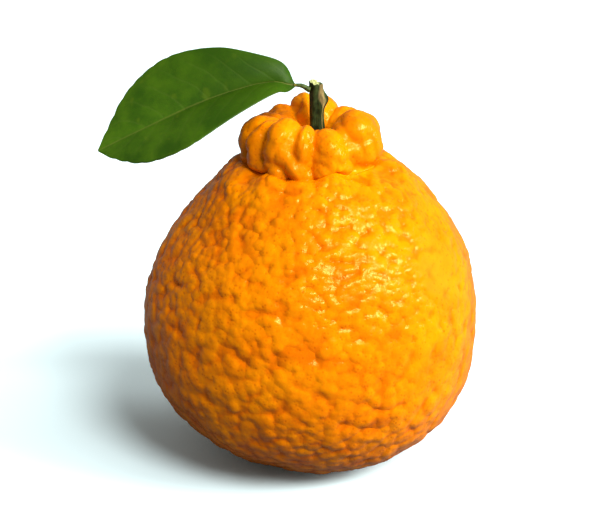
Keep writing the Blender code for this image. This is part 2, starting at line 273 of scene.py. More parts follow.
# %% Mottling
def build_mottle():
    inputs = [
        ("Place", "NodeSocketVector", None),
        ("Patch Size", "NodeSocketFloat", 12.0),
        ("Dark", "NodeSocketColor", None),
        ("Light", "NodeSocketColor", None),
    ]
    tree, given, result = new_tree("mottle", "ShaderNodeTree", inputs, [("Color", "NodeSocketColor")])
    patches = noise_of(tree, given["Place"], given["Patch Size"], detail=4.0, roughness=0.6)[0]
    share = eased(tree, patches, 0.32, 0.68)
    blend = {"Factor": share, 6: given["Dark"], 7: given["Light"]}
    mixed = add(tree, "ShaderNodeMix", blend, data_type="RGBA")
    tree.links.new(mixed.outputs[2], result["Color"])
    return tree


MOTTLE = build_mottle()
print(MOTTLE.name, "has", len(MOTTLE.nodes), "nodes")


# %% Fibres along the height
def build_fibres():
    inputs = [
        ("Place", "NodeSocketVector", None),
        ("Width", "NodeSocketFloat", 0.35),
        ("Stretch", "NodeSocketFloat", 0.08),
    ]
    outputs = [("Strands", "NodeSocketFloat")]
    tree, given, result = new_tree("fibres", "ShaderNodeTree", inputs, outputs)
    squeeze = add(tree, "ShaderNodeCombineXYZ", {0: 1.0, 1: 1.0, 2: given["Stretch"]}).outputs[0]
    drawn = vector(tree, "MULTIPLY", given["Place"], squeeze)
    strands = noise_of(tree, drawn, given["Width"], detail=3.0)[0]
    tree.links.new(eased(tree, strands, 0.35, 0.65), result["Strands"])
    return tree


FIBRES = build_fibres()
print(FIBRES.name, "has", len(FIBRES.nodes), "nodes")


# %% Start a material
def new_finish(name, roughness, ior=1.45, coat=0.0):
    """A material, its node tree, its shader and the place in millimetres."""
    material = bpy.data.materials.new(name)
    material.use_nodes = True
    tree = material.node_tree
    shader = tree.nodes["Principled BSDF"]
    shader.inputs["Roughness"].default_value = roughness
    shader.inputs["IOR"].default_value = ior
    shader.inputs["Coat Weight"].default_value = coat
    place = scaled(tree, add(tree, "ShaderNodeTexCoord").outputs["Object"], 1000.0)
    return material, tree, shader, place


def place_group(tree, group, **inputs):
    node = add(tree, "ShaderNodeGroup", node_tree=group)
    for name, value in inputs.items():
        socket = node.inputs[name.replace("_", " ")]
        if isinstance(value, bpy.types.NodeSocket):
            tree.links.new(value, socket)
        else:
            socket.default_value = value
    return node.outputs


def read(tree, name):
    return add(tree, "ShaderNodeAttribute", attribute_name=name).outputs["Fac"]


def mix(tree, share, first, second):
    """The first colour where the share is 0 and the second where it is 1."""
    return add(tree, "ShaderNodeMix", {0: share, 6: first, 7: second}, data_type="RGBA").outputs[2]


def bump(tree, height, distance, strength=1.0):
    inputs = {"Height": height, "Distance": distance * MM, "Strength": strength}
    return add(tree, "ShaderNodeBump", inputs).outputs[0]


# %% [markdown]
# ## The fruit's form
# The whole fruit grew as one piece, so it is one mesh: rings of points turned round
# the stem's axis from the small flat spot that it rests on, up over the shoulder,
# through the crease, over the crown and down into the pit. Ellipsoids pushed out of
# the crown make its knobs. This repeats the solid model's formula with many more
# points. On purpose, the grooves between the knobs are softer here, the crease is
# fuller and wanders up and down, and lumps of the shoulder press against the crown.

# %% The fruit's outline, in millimetres
REST_SPOT_RADIUS = 9.0
CREASE_RADIUS = 17.0
CREASE_HEIGHT = 83.8
PIT_HEIGHT = 92.0
FRUIT_OUTLINE = (
    (REST_SPOT_RADIUS, 0.0),
    (17.5, 1.6),
    (28.5, 5.9),
    (37.8, 13.6),
    (44.0, 24.2),
    (46.5, 34.5),
    (46.8, 41.5),
    (46.0, 49.0),
    (42.5, 60.2),
    (35.8, 70.7),
    (27.8, 80.1),
    (23.8, 83.4),
    (20.6, 84.9),
    (18.6, 84.8),
    (CREASE_RADIUS, CREASE_HEIGHT),
    (15.9, CREASE_HEIGHT + 1.6),
    (16.0, 88.4),
    (16.6, 91.6),
    (15.6, 95.0),
    (12.2, 96.8),
    (8.8, 95.8),
    (6.8, 94.0),
    (5.6, 92.6),
    (3.6, PIT_HEIGHT),
)
OUTLINE_SAMPLES = 900


def fruit_outline():
    """The outline, its outward normals, the way travelled along it and the crease's place."""
    outline = smooth_curve(FRUIT_OUTLINE, OUTLINE_SAMPLES)
    slope = np.gradient(outline, axis=0)
    slope = slope / np.linalg.norm(slope, axis=1, keepdims=True)
    normals = np.stack([slope[:, 1], -slope[:, 0]], axis=1)
    steps = np.linalg.norm(np.diff(outline, axis=0), axis=1)
    travel = np.concatenate([[0.0], np.cumsum(steps)])
    from_crease = outline - (CREASE_RADIUS, CREASE_HEIGHT)
    crease = travel[np.argmin(np.linalg.norm(from_crease, axis=1))]
    return outline, normals, travel, crease


def softened(curve, reach, travel):
    """The curve's columns averaged over a reach in millimetres to either side."""
    near = int(reach / (travel[1] - travel[0]))
    weights = np.hanning(2 * near + 1)
    padded = np.pad(curve, ((near, near), (0, 0)), mode="edge")
    smoothed = [np.convolve(column, weights / weights.sum(), "valid") for column in padded.T]
    return np.stack(smoothed, axis=1)


# %% The crown's knobs
# Angle round the stem from -Y towards +X, distance from the axis, height, half
# sizes outwards, around and upwards, and roll. The knobs at -9.5 and -14 degrees lie
# about a millimetre from where the solid model has them, and differ a little in size.
CROWN_KNOBS = (
    (-104.0, 13.6, 89.2, 6.1, 4.2, 4.7, 0.0),
    (-85.0, 12.9, 91.6, 6.9, 4.8, 7.2, 0.0),
    (-60.0, 12.9, 91.3, 7.0, 4.3, 7.6, 0.0),
    (-34.0, 12.8, 91.9, 7.1, 5.4, 8.7, 0.0),
    (-9.5, 12.4, 92.2, 6.3, 2.8, 6.8, 0.0),
    (18.0, 12.8, 90.8, 6.7, 4.8, 7.2, 0.0),
    (66.0, 12.5, 92.3, 7.2, 7.4, 8.9, 0.0),
    (106.0, 12.6, 91.2, 7.0, 4.7, 7.3, 0.0),
    (135.0, 12.4, 90.9, 6.9, 4.2, 7.2, 0.0),
    (165.0, 12.0, 92.2, 7.3, 4.7, 8.6, 0.0),
    (-168.0, 11.4, 92.9, 7.5, 4.0, 8.8, 0.0),
    (-141.0, 12.5, 91.0, 7.1, 4.7, 7.8, 0.0),
    (-117.0, 12.8, 91.0, 6.8, 3.9, 6.8, 0.0),
    (-14.0, 15.0, 88.6, 4.9, 5.4, 2.6, 40.0),
    (-55.0, 14.3, 87.5, 4.9, 4.8, 3.0, 0.0),
    (-31.0, 14.7, 87.1, 4.5, 3.2, 2.6, 0.0),
    (-79.0, 14.2, 87.6, 4.9, 3.8, 3.0, 0.0),
    (8.0, 14.4, 87.6, 4.8, 2.8, 3.1, 0.0),
    (27.0, 13.9, 87.6, 4.9, 3.6, 3.2, 0.0),
    (119.0, 14.3, 87.5, 4.8, 4.6, 3.0, 0.0),
    (152.0, 14.5, 87.7, 4.8, 4.2, 3.1, -25.0),
    (-179.0, 14.4, 87.4, 4.8, 4.0, 2.9, 0.0),
    (-152.0, 14.6, 87.7, 4.9, 4.4, 3.1, 30.0),
    (-126.0, 14.3, 87.7, 4.8, 4.2, 3.1, 0.0),
)
# Wider than the solid model's 1.1, because the real grooves are soft
KNOB_BLEND = 2.0
# How fast a knob's reach falls away beside it
MISS_FALL = 3.0
# The ways over which knobs grow out of the crease, 0.2 mm longer than in the solid
# model, and die in the pit
KNOB_FADE_IN = 2.4
PIT_FADE = (1.0, 5.0)
# The crease is filled a little more than in the solid model, and all the way round
CREASE_FILL = 1.5
CREASE_FILL_WIDTH = 2.2
# Degrees from -Y towards +X: the side where the crown flows into the shoulder. Unlike
# in the solid model, the outline is softened there and the knobs grow more slowly.
SMOOTH_SIDE = 48.0
SMOOTH_REACH = 36.0
SMOOTH_WIDTH = 8.0
SMOOTH_FADE_IN = 4.5
SOFTENING = 5.0
# The crease wanders: angle, spread in degrees, rise
CREASE_SHIFTS = (
    (-15.0, 13.0, -1.3), (17.0, 13.0, 1.3), (-62.0, 16.0, 0.6),
    (125.0, 22.0, 0.9), (-130.0, 20.0, -0.8), (170.0, 16.0, -0.6),
)
CREASE_SHIFT_PLACE = 0.5
CREASE_SHIFT_REACH = 4.0
# Lumps of the shoulder that press against the crown: angle, spread in degrees, rise
# and distance before the crease
SHOULDER_LUMPS = (
    (15.0, 11.0, 1.7, 3.0), (-38.0, 9.0, 0.8, 3.0), (-14.0, 12.0, 1.3, 0.8),
    (-100.0, 14.0, 1.0, 3.0), (160.0, 14.0, 1.2, 3.0),
)
SHOULDER_LUMP_REACH = 3.0


def knob_reach(points, normals, knob):
    """How far along each normal the knob's skin lies, falling away where it misses."""
    angle, distance, height, outward, around, upward, roll = knob
    turn = math.radians(angle)
    tip = math.radians(roll)
    radial = np.array([math.sin(turn), -math.cos(turn), 0.0])
    side = np.array([math.cos(turn), math.sin(turn), 0.0])
    up = np.array([0.0, 0.0, 1.0])
    axes = np.stack([
        radial / outward,
        (math.cos(tip) * side - math.sin(tip) * up) / around,
        (math.sin(tip) * side + math.cos(tip) * up) / upward,
    ])
    start = (points - distance * radial - height * up) @ axes.T
    heading = normals @ axes.T
    square = np.sum(heading * heading, axis=1)
    half = np.sum(start * heading, axis=1)
    spread = half * half - square * (np.sum(start * start, axis=1) - 1.0)
    beside = np.where(spread > 0.0, 1.0, -MISS_FALL) * np.sqrt(np.abs(spread))
    return (beside - half) / square


def smooth_larger(first, second, blend):
    share = np.clip(0.5 + 0.5 * (first - second) / blend, 0.0, 1.0)
    return second + (first - second) * share + blend * share * (1.0 - share)


def knobs_reach(points, normals):
    reach = np.zeros(len(points))
    for knob in CROWN_KNOBS:
        reach = smooth_larger(reach, knob_reach(points, normals, knob), KNOB_BLEND)
    return reach


print("knobs on the crown:", len(CROWN_KNOBS))

# %% Rings of points over the whole skin
# The pebbles need points less than 0.7 mm apart, and one piece may have 200,000
# triangles, which sets the numbers of columns and rings
RIND_COLUMNS = 448
RIND_RINGS = 222
# Rings lie closer on the crown, from these ways before the crease
CROWN_FINENESS = 1.5
FINENESS_RAMP = (-14.0, -4.0)
# Waves of the skin, length and height. The two shorter ones are lower than in the
# solid model, because the pebbles are added later.
RIND_WAVES = ((34.0, 0.9), (15.0, 0.55), (6.5, 0.25))
RIND_SEED = 11
CROWN_RELIEF_SHARE = 0.3
BODY_END = (-3.0, 2.0)
REST_SPOT_FADE = 14.0
CREASE_CALM = 0.8
CREASE_CALM_WIDTH = 2.0
# Short pleats where the shoulder tucks in under the crown
PLEAT_LENGTH = 6.0
PLEAT_HEIGHT = 2.2
PLEAT_PLACE = 5.4
PLEAT_REACH = 4.5
PLEAT_SEED = 5
# The body sways to +X and -X: height, spread and shift
SWAY = ((4.0, 12.0, 0.9), (30.0, 16.0, -0.8), (74.0, 12.0, 1.3))
# Towards +X the pebbles are lower by this share, over this way
CALMER_CHEEK = 0.3
CALMER_CHEEK_REACH = 40.0


def skin_waves(points):
    relief = np.zeros(len(points))
    for number, (length, size) in enumerate(RIND_WAVES):
        relief += size * wave(points, length, RIND_SEED + number)
    return relief


def fruit_skin(columns, rings):
    """Points of the skin, ring by ring, and how much of the fine relief each may carry."""
    outline, outline_normals, travel, crease = fruit_outline()
    fine = smooth_step(*FINENESS_RAMP, travel - crease)
    crowding = np.cumsum(1.0 + (CROWN_FINENESS - 1.0) * fine)
    places = np.interp(np.linspace(crowding[0], crowding[-1], rings), crowding, travel)
    turns = np.linspace(0.0, 2.0 * math.pi, columns, endpoint=False)
    place, turn = (grid.ravel() for grid in np.meshgrid(places, turns, indexing="ij"))
    flat = np.stack([np.sin(turn), -np.cos(turn), 0.0 * turn], axis=1)
    up = np.array([0.0, 0.0, 1.0])
    past_crease = place - crease
    smooth_foot = bell(degrees_from(turn, SMOOTH_SIDE), SMOOTH_REACH)
    soft_outline = softened(outline, SOFTENING, travel)
    soft_normals = softened(outline_normals, SOFTENING, travel)
    softness = smooth_foot * bell(past_crease, SMOOTH_WIDTH)

    def at_place(hard, soft):
        hard, soft = (np.interp(place, travel, values) for values in (hard, soft))
        return (hard + softness * (soft - hard))[:, None]

    radius = at_place(outline[:, 0], soft_outline[:, 0])
    height = at_place(outline[:, 1], soft_outline[:, 1])
    outward = at_place(outline_normals[:, 0], soft_normals[:, 0])
    upward = at_place(outline_normals[:, 1], soft_normals[:, 1])
    points = radius * flat + height * up
    normals = outward * flat + upward * up
    normals = normals / np.linalg.norm(normals, axis=1, keepdims=True)
    out_of_pit = smooth_step(*PIT_FADE, travel[-1] - place)
    reach = knobs_reach(points, normals)
    relief = skin_waves(points)
    body = 1.0 - smooth_step(*BODY_END, past_crease)
    off_spot = smooth_step(0.0, REST_SPOT_FADE, place)
    calm = 1.0 - CREASE_CALM * bell(past_crease, CREASE_CALM_WIDTH)
    share = np.maximum(body, CROWN_RELIEF_SHARE * out_of_pit) * off_spot * calm
    pleats = wave(CREASE_RADIUS * flat, PLEAT_LENGTH, PLEAT_SEED)
    pleats = pleats * bell(past_crease + PLEAT_PLACE, PLEAT_REACH)
    fill = bell(past_crease, CREASE_FILL_WIDTH)
    foot = smooth_step(0.0, KNOB_FADE_IN + SMOOTH_FADE_IN * smooth_foot, past_crease)
    lift = reach * foot * out_of_pit + share * relief
    for angle, spread, rise, before in SHOULDER_LUMPS:
        beside = bell(degrees_from(turn, angle), spread)
        lift += rise * beside * bell(past_crease + before, SHOULDER_LUMP_REACH)
    points = points + normals * (lift + PLEAT_HEIGHT * body * pleats + CREASE_FILL * fill)[:, None]
    near_crease = bell(past_crease - CREASE_SHIFT_PLACE, CREASE_SHIFT_REACH)
    for angle, spread, rise in CREASE_SHIFTS:
        points[:, 2] += rise * bell(degrees_from(turn, angle), spread) * near_crease
    for level, spread, shift in SWAY:
        points[:, 0] += shift * bell(points[:, 2] - level, spread) * body * off_spot
    calmer = 1.0 - CALMER_CHEEK * smooth_step(0.0, CALMER_CHEEK_REACH, points[:, 0])
    pebbled = body * off_spot * calmer
    return points.reshape(rings, columns, 3), pebbled, (1.0 - body) * out_of_pit


def make_fruit_form():
    rings, pebbled, on_crown = fruit_skin(RIND_COLUMNS, RIND_RINGS)
    corners, faces = ring_solid(rings)
    fruit = make_mesh("rind", corners, faces)
    store(fruit, "pebbled", np.append(pebbled, (0.0, 0.0)))
    store(fruit, "on_crown", np.append(on_crown, (0.0, 0.0)))
    print("fruit form:", len(corners), "points,", count_triangles(fruit), "triangles")
    return fruit


fruit = make_fruit_form()

# %% [markdown]
# ## The pebbly rind
# The rind is covered with rounded pebbles, about 3 to 5 mm across, that run into each
# other with narrow valleys between them. A cell pattern gives just that: each cell is
# a dome that falls to a valley at its edge. Large lumps stand out in some patches and
# small pebbles in others. Each cell has its own height and leans its own way, the
# place is bent with noise first, and broad dents run through it all, so the pattern
# doesn't look regular. A tree in Geometry Nodes lifts the skin by it, so the pebbles
# are real shape and show on the outline too. Towards the shoulder the pattern is
# squeezed upwards, because the pebbles lie flatter there, and the crown has softer
# lumps with fine dimples. The tree keeps three things for the material to read: how
# deep in a valley a point lies, which size its patch has, and its bent place.

# %% The tree that lifts the pebbles
LUMP_SIZE = 4.8
PEBBLE_SIZE = 2.9


def build_rind_relief():
    inputs = [
        ("Geometry", "NodeSocketGeometry", None),
        ("Lump Size", "NodeSocketFloat", LUMP_SIZE),
        ("Lump Height", "NodeSocketFloat", 0.46),
        ("Pebble Size", "NodeSocketFloat", PEBBLE_SIZE),
        ("Pebble Height", "NodeSocketFloat", 0.34),
        ("Unevenness", "NodeSocketFloat", 0.9),
        ("Lean", "NodeSocketFloat", 0.5),
        ("Patch Size", "NodeSocketFloat", 24.0),
        ("Dent Size", "NodeSocketFloat", 11.0),
        ("Dent Depth", "NodeSocketFloat", 0.8),
        ("Crown Lump Size", "NodeSocketFloat", 4.6),
        ("Crown Lump Height", "NodeSocketFloat", 0.6),
        ("Bend", "NodeSocketFloat", 1.6),
        ("Shoulder Squeeze", "NodeSocketFloat", 18.0),
        ("Seed", "NodeSocketFloat", 4.0),
        ("Skin", "NodeSocketMaterial", None),
    ]
    outputs = [("Geometry", "NodeSocketGeometry")]
    tree, given, result = new_tree("rind_relief", "GeometryNodeTree", inputs, outputs)
    place = scaled(tree, add(tree, "GeometryNodeInputPosition").outputs[0], 1000.0)
    height = add(tree, "ShaderNodeSeparateXYZ", {0: place}).outputs[2]
    squeeze = calc(tree, "MULTIPLY", eased(tree, height, 45.0, 90.0), given["Shoulder Squeeze"])
    squeeze = add(tree, "ShaderNodeCombineXYZ", {2: squeeze}).outputs[0]
    shift = scaled(tree, (17.3, 9.1, 23.7), given["Seed"])
    place = vector(tree, "ADD", vector(tree, "ADD", place, shift), squeeze)
    stir = vector(tree, "SUBTRACT", noise_of(tree, place, 5.0)[1], (0.5, 0.5, 0.5))
    bent = vector(tree, "ADD", place, scaled(tree, stir, given["Bend"]))

    def domes(size):
        scale = calc(tree, "DIVIDE", 1.0, size)
        inputs = {"Vector": bent, "Scale": scale, "Smoothness": 0.25}
        cells = add(tree, "ShaderNodeTexVoronoi", inputs, feature="SMOOTH_F1").outputs
        centre = calc(tree, "DIVIDE", cells["Distance"], 0.75)
        dome = calc(tree, "SUBTRACT", 1.0, calc(tree, "POWER", centre, 3.0))
        own = vector(tree, "SUBTRACT", cells["Color"], (0.5, 0.5, 0.5))
        from_centre = scaled(tree, vector(tree, "SUBTRACT", bent, cells["Position"]), scale)
        inputs = {0: from_centre, 1: own}
        lean = add(tree, "ShaderNodeVectorMath", inputs, operation="DOT_PRODUCT").outputs["Value"]
        tall = add(tree, "ShaderNodeSeparateXYZ", {0: own}).outputs[0]
        tall = calc(tree, "MULTIPLY_ADD", tall, given["Unevenness"], 1.0)
        return calc(tree, "MULTIPLY_ADD", lean, given["Lean"], calc(tree, "MULTIPLY", dome, tall))

    def around_middle(value, size):
        return calc(tree, "MULTIPLY", calc(tree, "SUBTRACT", value, 0.5), size)

    # Patches of large lumps are likelier lower down, from 80 mm to 25 mm up
    inputs = {"Value": height, "From Min": 80.0, "From Max": 25.0, "To Min": -0.2, "To Max": 0.02}
    lower = add(tree, "ShaderNodeMapRange", inputs).outputs[0]
    patches = calc(tree, "ADD", lower, noise_of(tree, place, given["Patch Size"], detail=0.0)[0])
    patches = eased(tree, patches, 0.4, 0.6)
    lumps = domes(given["Lump Size"])
    lump_lift = around_middle(lumps, given["Lump Height"])
    lump_lift = calc(tree, "MULTIPLY", lump_lift, calc(tree, "MULTIPLY_ADD", patches, 0.75, 0.3))
    pebbles = domes(given["Pebble Size"])
    pebble_lift = around_middle(pebbles, given["Pebble Height"])
    pebble_lift = calc(tree, "MULTIPLY", pebble_lift, calc(tree, "MULTIPLY_ADD", patches, -0.6, 1.1))
    dents = noise_of(tree, bent, given["Dent Size"], detail=1.0)[0]
    dent_lift = around_middle(dents, given["Dent Depth"])
    body_lift = calc(tree, "ADD", calc(tree, "ADD", pebble_lift, lump_lift), dent_lift)
    crown_lumps = around_middle(domes(given["Crown Lump Size"]), given["Crown Lump Height"])
    dimples = around_middle(noise_of(tree, bent, 2.2)[0], 0.55)
    crown_lift = calc(tree, "ADD", crown_lumps, dimples)

    pebbled = add(tree, "GeometryNodeInputNamedAttribute", {"Name": "pebbled"}).outputs[0]
    on_crown = add(tree, "GeometryNodeInputNamedAttribute", {"Name": "on_crown"}).outputs[0]
    lift = calc(tree, "MULTIPLY_ADD", crown_lift, on_crown, calc(tree, "MULTIPLY", body_lift, pebbled))
    normal = add(tree, "GeometryNodeInputNormal").outputs[0]
    offset = scaled(tree, normal, calc(tree, "MULTIPLY", lift, MM))
    raised = add(tree, "GeometryNodeSetPosition", {"Geometry": given["Geometry"], "Offset": offset})
    raised_share = calc(tree, "MULTIPLY_ADD", lumps, 0.5, calc(tree, "MULTIPLY", pebbles, 0.5))
    valley = calc(tree, "MULTIPLY", calc(tree, "SUBTRACT", 1.0, raised_share), pebbled)
    kept = {"Geometry": raised.outputs[0], "Name": "valley", "Value": valley}
    marked = add(tree, "GeometryNodeStoreNamedAttribute", kept, domain="POINT").outputs[0]
    kept = {"Geometry": marked, "Name": "lumpy", "Value": patches}
    marked = add(tree, "GeometryNodeStoreNamedAttribute", kept, domain="POINT").outputs[0]
    kept = add(tree, "GeometryNodeStoreNamedAttribute", domain="POINT", data_type="FLOAT_VECTOR")
    kept.inputs["Name"].default_value = "bent_place"
    tree.links.new(marked, kept.inputs["Geometry"])
    tree.links.new(bent, kept.inputs["Value"])
    real = add(tree, "GeometryNodeRealizeInstances", {0: kept.outputs[0]}).outputs[0]
    skinned = add(tree, "GeometryNodeSetMaterial", {"Geometry": real, "Material": given["Skin"]})
    tree.links.new(skinned.outputs[0], result["Geometry"])
    return tree


# %% [markdown]
# ## The rind's colour
# The skin is a deep orange, a little yellower in broad patches, with darker dots where
# the oil glands lie. The valleys between the pebbles get a darker, redder orange: that
# is painted shade. Its wax gives a clear gloss with a yellow tint, as the real
# highlights have, broken up by the glands' small pits. The creases between the pebbles
# are too narrow for the mesh, so the material draws the same cells again from the bent
# place and adds them as bump. Light enters the skin a little way, so some of it is
# scattered under the surface.

# %% The rind's material
def make_rind_finish():
    material, tree, shader, place = new_finish("rind_wax", 0.3)
    shader.inputs["Specular Tint"].default_value = (1.0, 0.9, 0.27, 1.0)
    shader.inputs["Specular IOR Level"].default_value = 0.4
    shader.inputs["Subsurface Weight"].default_value = 0.06
    shader.inputs["Subsurface Radius"].default_value = (1.0, 0.3, 0.05)
    shader.inputs["Subsurface Scale"].default_value = 0.001
    orange = place_group(
        tree, MOTTLE, Place=place, Patch_Size=11.0,
        Dark=(0.68, 0.166, 0.0, 1.0), Light=(0.75, 0.22, 0.0, 1.0),
    )[0]
    # Painted shade: points deep in a valley between the pebbles get a darker, redder orange
    valley_shade = calc(tree, "MULTIPLY", eased(tree, read(tree, "valley"), 0.3, 0.9), 0.6)
    toned = mix(tree, valley_shade, orange, (0.58, 0.095, 0.0, 1.0))
    glands = place_group(tree, OIL_GLANDS, Place=place, Spacing=1.25, Dot_Size=0.4)
    dotted = calc(tree, "MULTIPLY", glands["Dots"], 0.55)
    spotted = mix(tree, dotted, toned, (0.46, 0.075, 0.0, 1.0))
    tree.links.new(spotted, shader.inputs["Base Color"])
    gloss = noise_of(tree, place, 2.2)[0]
    rough = calc(tree, "MULTIPLY_ADD", gloss, 0.16, 0.14)
    tree.links.new(rough, shader.inputs["Roughness"])
    cells = add(tree, "ShaderNodeAttribute", attribute_name="bent_place").outputs["Vector"]
    lumpy = read(tree, "lumpy")
    large = calc(tree, "POWER", cells_of(tree, cells, LUMP_SIZE, "SMOOTH_F1", 0.1), 4.0)
    little = calc(tree, "POWER", cells_of(tree, cells, PEBBLE_SIZE, "SMOOTH_F1", 0.1), 4.0)
    creases = calc(tree, "MULTIPLY", calc(tree, "MULTIPLY", large, lumpy), -3.0)
    fewer = calc(tree, "MULTIPLY_ADD", lumpy, 1.0, -2.2)
    creases = calc(tree, "MULTIPLY_ADD", little, fewer, creases)
    creases = calc(tree, "MULTIPLY", creases, read(tree, "pebbled"))
    small = cells_of(tree, place, 1.7, "SMOOTH_F1", 0.5)
    grain = noise_of(tree, place, 0.6, detail=3.0)[0]
    height = calc(tree, "MULTIPLY_ADD", small, -0.75, calc(tree, "MULTIPLY", grain, 0.25))
    height = calc(tree, "MULTIPLY_ADD", glands["Height"], 0.35, height)
    height = calc(tree, "MULTIPLY_ADD", creases, 0.8, height)
    tree.links.new(bump(tree, height, 0.15), shader.inputs["Normal"])
    return material


rind_finish = make_rind_finish()
rind = grow(fruit, build_rind_relief(), Skin=rind_finish)
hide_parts("fruit")
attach(rind, "root")

# %% [markdown]
# ## The calyx
# The stem grows from a green button with five blunt lobes on the floor of the pit. One
# lobe is made by formula, and a tree places five of them round the button's edge: what
# repeats is described once, and the number stays a named input. The solid model has
# one notched button instead.

# %% Button and lobe
GAP = 0.3
CALYX_THICKNESS = 1.1
CALYX_SHIFT = 0.9
CALYX_BASE = PIT_HEIGHT + GAP
BUTTON_RADIUS = 2.4
LOBE_RADII = (1.15, 0.95)
LOBE_THICKNESS = 0.6


def low_pad(name, radii, thickness, centre, sides, profile):
    """A closed pad: rings of the given shares of its radii at shares of its thickness."""
    angles = np.linspace(0.0, 2.0 * math.pi, sides, endpoint=False)
    rings = []
    for share, level in profile:
        rings.append(np.stack([
            centre[0] + radii[0] * share * np.cos(angles),
            centre[1] + radii[1] * share * np.sin(angles),
            np.full(sides, centre[2] + level * thickness),
        ], axis=1))
    corners, faces = ring_solid(rings)
    return make_mesh(name, corners, faces)


PAD_PROFILE = ((0.6, 0.0), (0.9, 0.12), (1.0, 0.4), (0.9, 0.75), (0.6, 0.95), (0.2, 1.0))
button = low_pad(
    "calyx_button", (BUTTON_RADIUS, BUTTON_RADIUS), CALYX_THICKNESS,
    (CALYX_SHIFT, 0.0, CALYX_BASE), 40, PAD_PROFILE,
)
lobe = low_pad("lobe", LOBE_RADII, LOBE_THICKNESS, (0.0, 0.0, 0.0), 16, PAD_PROFILE)
print("triangles of the button and a lobe:", count_triangles(button), count_triangles(lobe))


# %% The tree that repeats the lobe round the button
def build_ring_of_lobes():
    inputs = [
        ("Geometry", "NodeSocketGeometry", None),
        ("Lobe", "NodeSocketObject", None),
        ("Lobes", "NodeSocketInt", 5),
        ("Ring Radius", "NodeSocketFloat", 0.0018),
        ("Middle", "NodeSocketVector", None),
        ("Bark", "NodeSocketMaterial", None),
    ]
    outputs = [("Geometry", "NodeSocketGeometry")]
    tree, given, result = new_tree("ring_of_lobes", "GeometryNodeTree", inputs, outputs)
    ring = add(tree, "GeometryNodeMeshCircle", {
        "Vertices": given["Lobes"],
        "Radius": given["Ring Radius"],
    }).outputs[0]
    moved = add(tree, "GeometryNodeTransform", {"Geometry": ring, "Translation": given["Middle"]})
    number = add(tree, "GeometryNodeInputIndex").outputs[0]
    part_turn = calc(tree, "DIVIDE", 2.0 * math.pi, given["Lobes"])
    turn = calc(tree, "MULTIPLY", number, part_turn)
    facing = add(tree, "ShaderNodeCombineXYZ", {2: turn}).outputs[0]
    shape = add(tree, "GeometryNodeObjectInfo", {"Object": given["Lobe"]}).outputs["Geometry"]
    placed = add(tree, "GeometryNodeInstanceOnPoints", {
        "Points": moved.outputs[0],
        "Instance": shape,
        "Rotation": facing,
    }).outputs[0]
    both = add(tree, "GeometryNodeJoinGeometry")
    tree.links.new(given["Geometry"], both.inputs[0])
    tree.links.new(placed, both.inputs[0])
    real = add(tree, "GeometryNodeRealizeInstances", {0: both.outputs[0]}).outputs[0]
    done = add(tree, "GeometryNodeSetMaterial", {"Geometry": real, "Material": given["Bark"]})
    tree.links.new(done.outputs[0], result["Geometry"])
    return tree


# %% The calyx's material, and the finished calyx
def make_calyx_finish():
    material, tree, shader, place = new_finish("calyx_skin", 0.6)
    green = place_group(
        tree, MOTTLE, Place=place, Patch_Size=1.6,
        Dark=(0.055, 0.075, 0.018, 1.0), Light=(0.17, 0.19, 0.06, 1.0),
    )[0]
    tree.links.new(green, shader.inputs["Base Color"])
    tree.links.new(bump(tree, noise_of(tree, place, 0.5)[0], 0.1), shader.inputs["Normal"])
    return material


lobe_middle = Vector((CALYX_SHIFT, 0.0, CALYX_BASE + 0.1)) * MM
calyx = grow(
    button, build_ring_of_lobes(), Lobe=lobe, Middle=lobe_middle, Bark=make_calyx_finish(),
)
bpy.data.objects.remove(lobe)
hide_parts("calyx")
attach(calyx, "root")

# %% [markdown]
# ## The cut stem
# The twig is dark green and ridged, a little twisted, with a bud on one side and a
# strip of dry, tan bark beside it. It was torn rather than cut, so pale wood stands
# up at its top. The form is rings of points again, with smaller rings across the top
# for the wood. The solid model has the same slanted cut, without the wood that stands
# up from it. The bark's furrows are lifted by a tree, because they follow its form.

# %% The stem's form
STEM_STATIONS = (
    (0.0, 1.35, 2.35),
    (1.6, 1.3, 2.0),
    (5.2, 1.2, 1.85),
    (8.6, 1.3, 1.95),
    (11.4, 1.2, 1.9),
    (14.0, 1.1, 1.85),
)
STEM_SIDES = 96
STEM_RINGS = 110
STEM_FOOT = PIT_HEIGHT + 2.0 * GAP + CALYX_THICKNESS
STEM_RIDGES = 5.0
STEM_RIDGE_HEIGHT = 0.17
STEM_TWIST = 40.0
BUD_HEIGHT = 9.4
BUD_SIZE = 1.9
BUD_BULGE = 1.25
BUD_TURN = 5.0
CUT_REACH = 4.0
CUT_SLOPE = -0.45
CUT_TEAR = 0.35
# Rings across the top, as shares of its radius, and how far the torn wood stands up
CAP_RINGS = (0.9, 0.78, 0.62, 0.45, 0.28, 0.12)
WOOD_RISE = 0.45
WOOD_GRAIN = 0.7
WOOD_SEED = 21


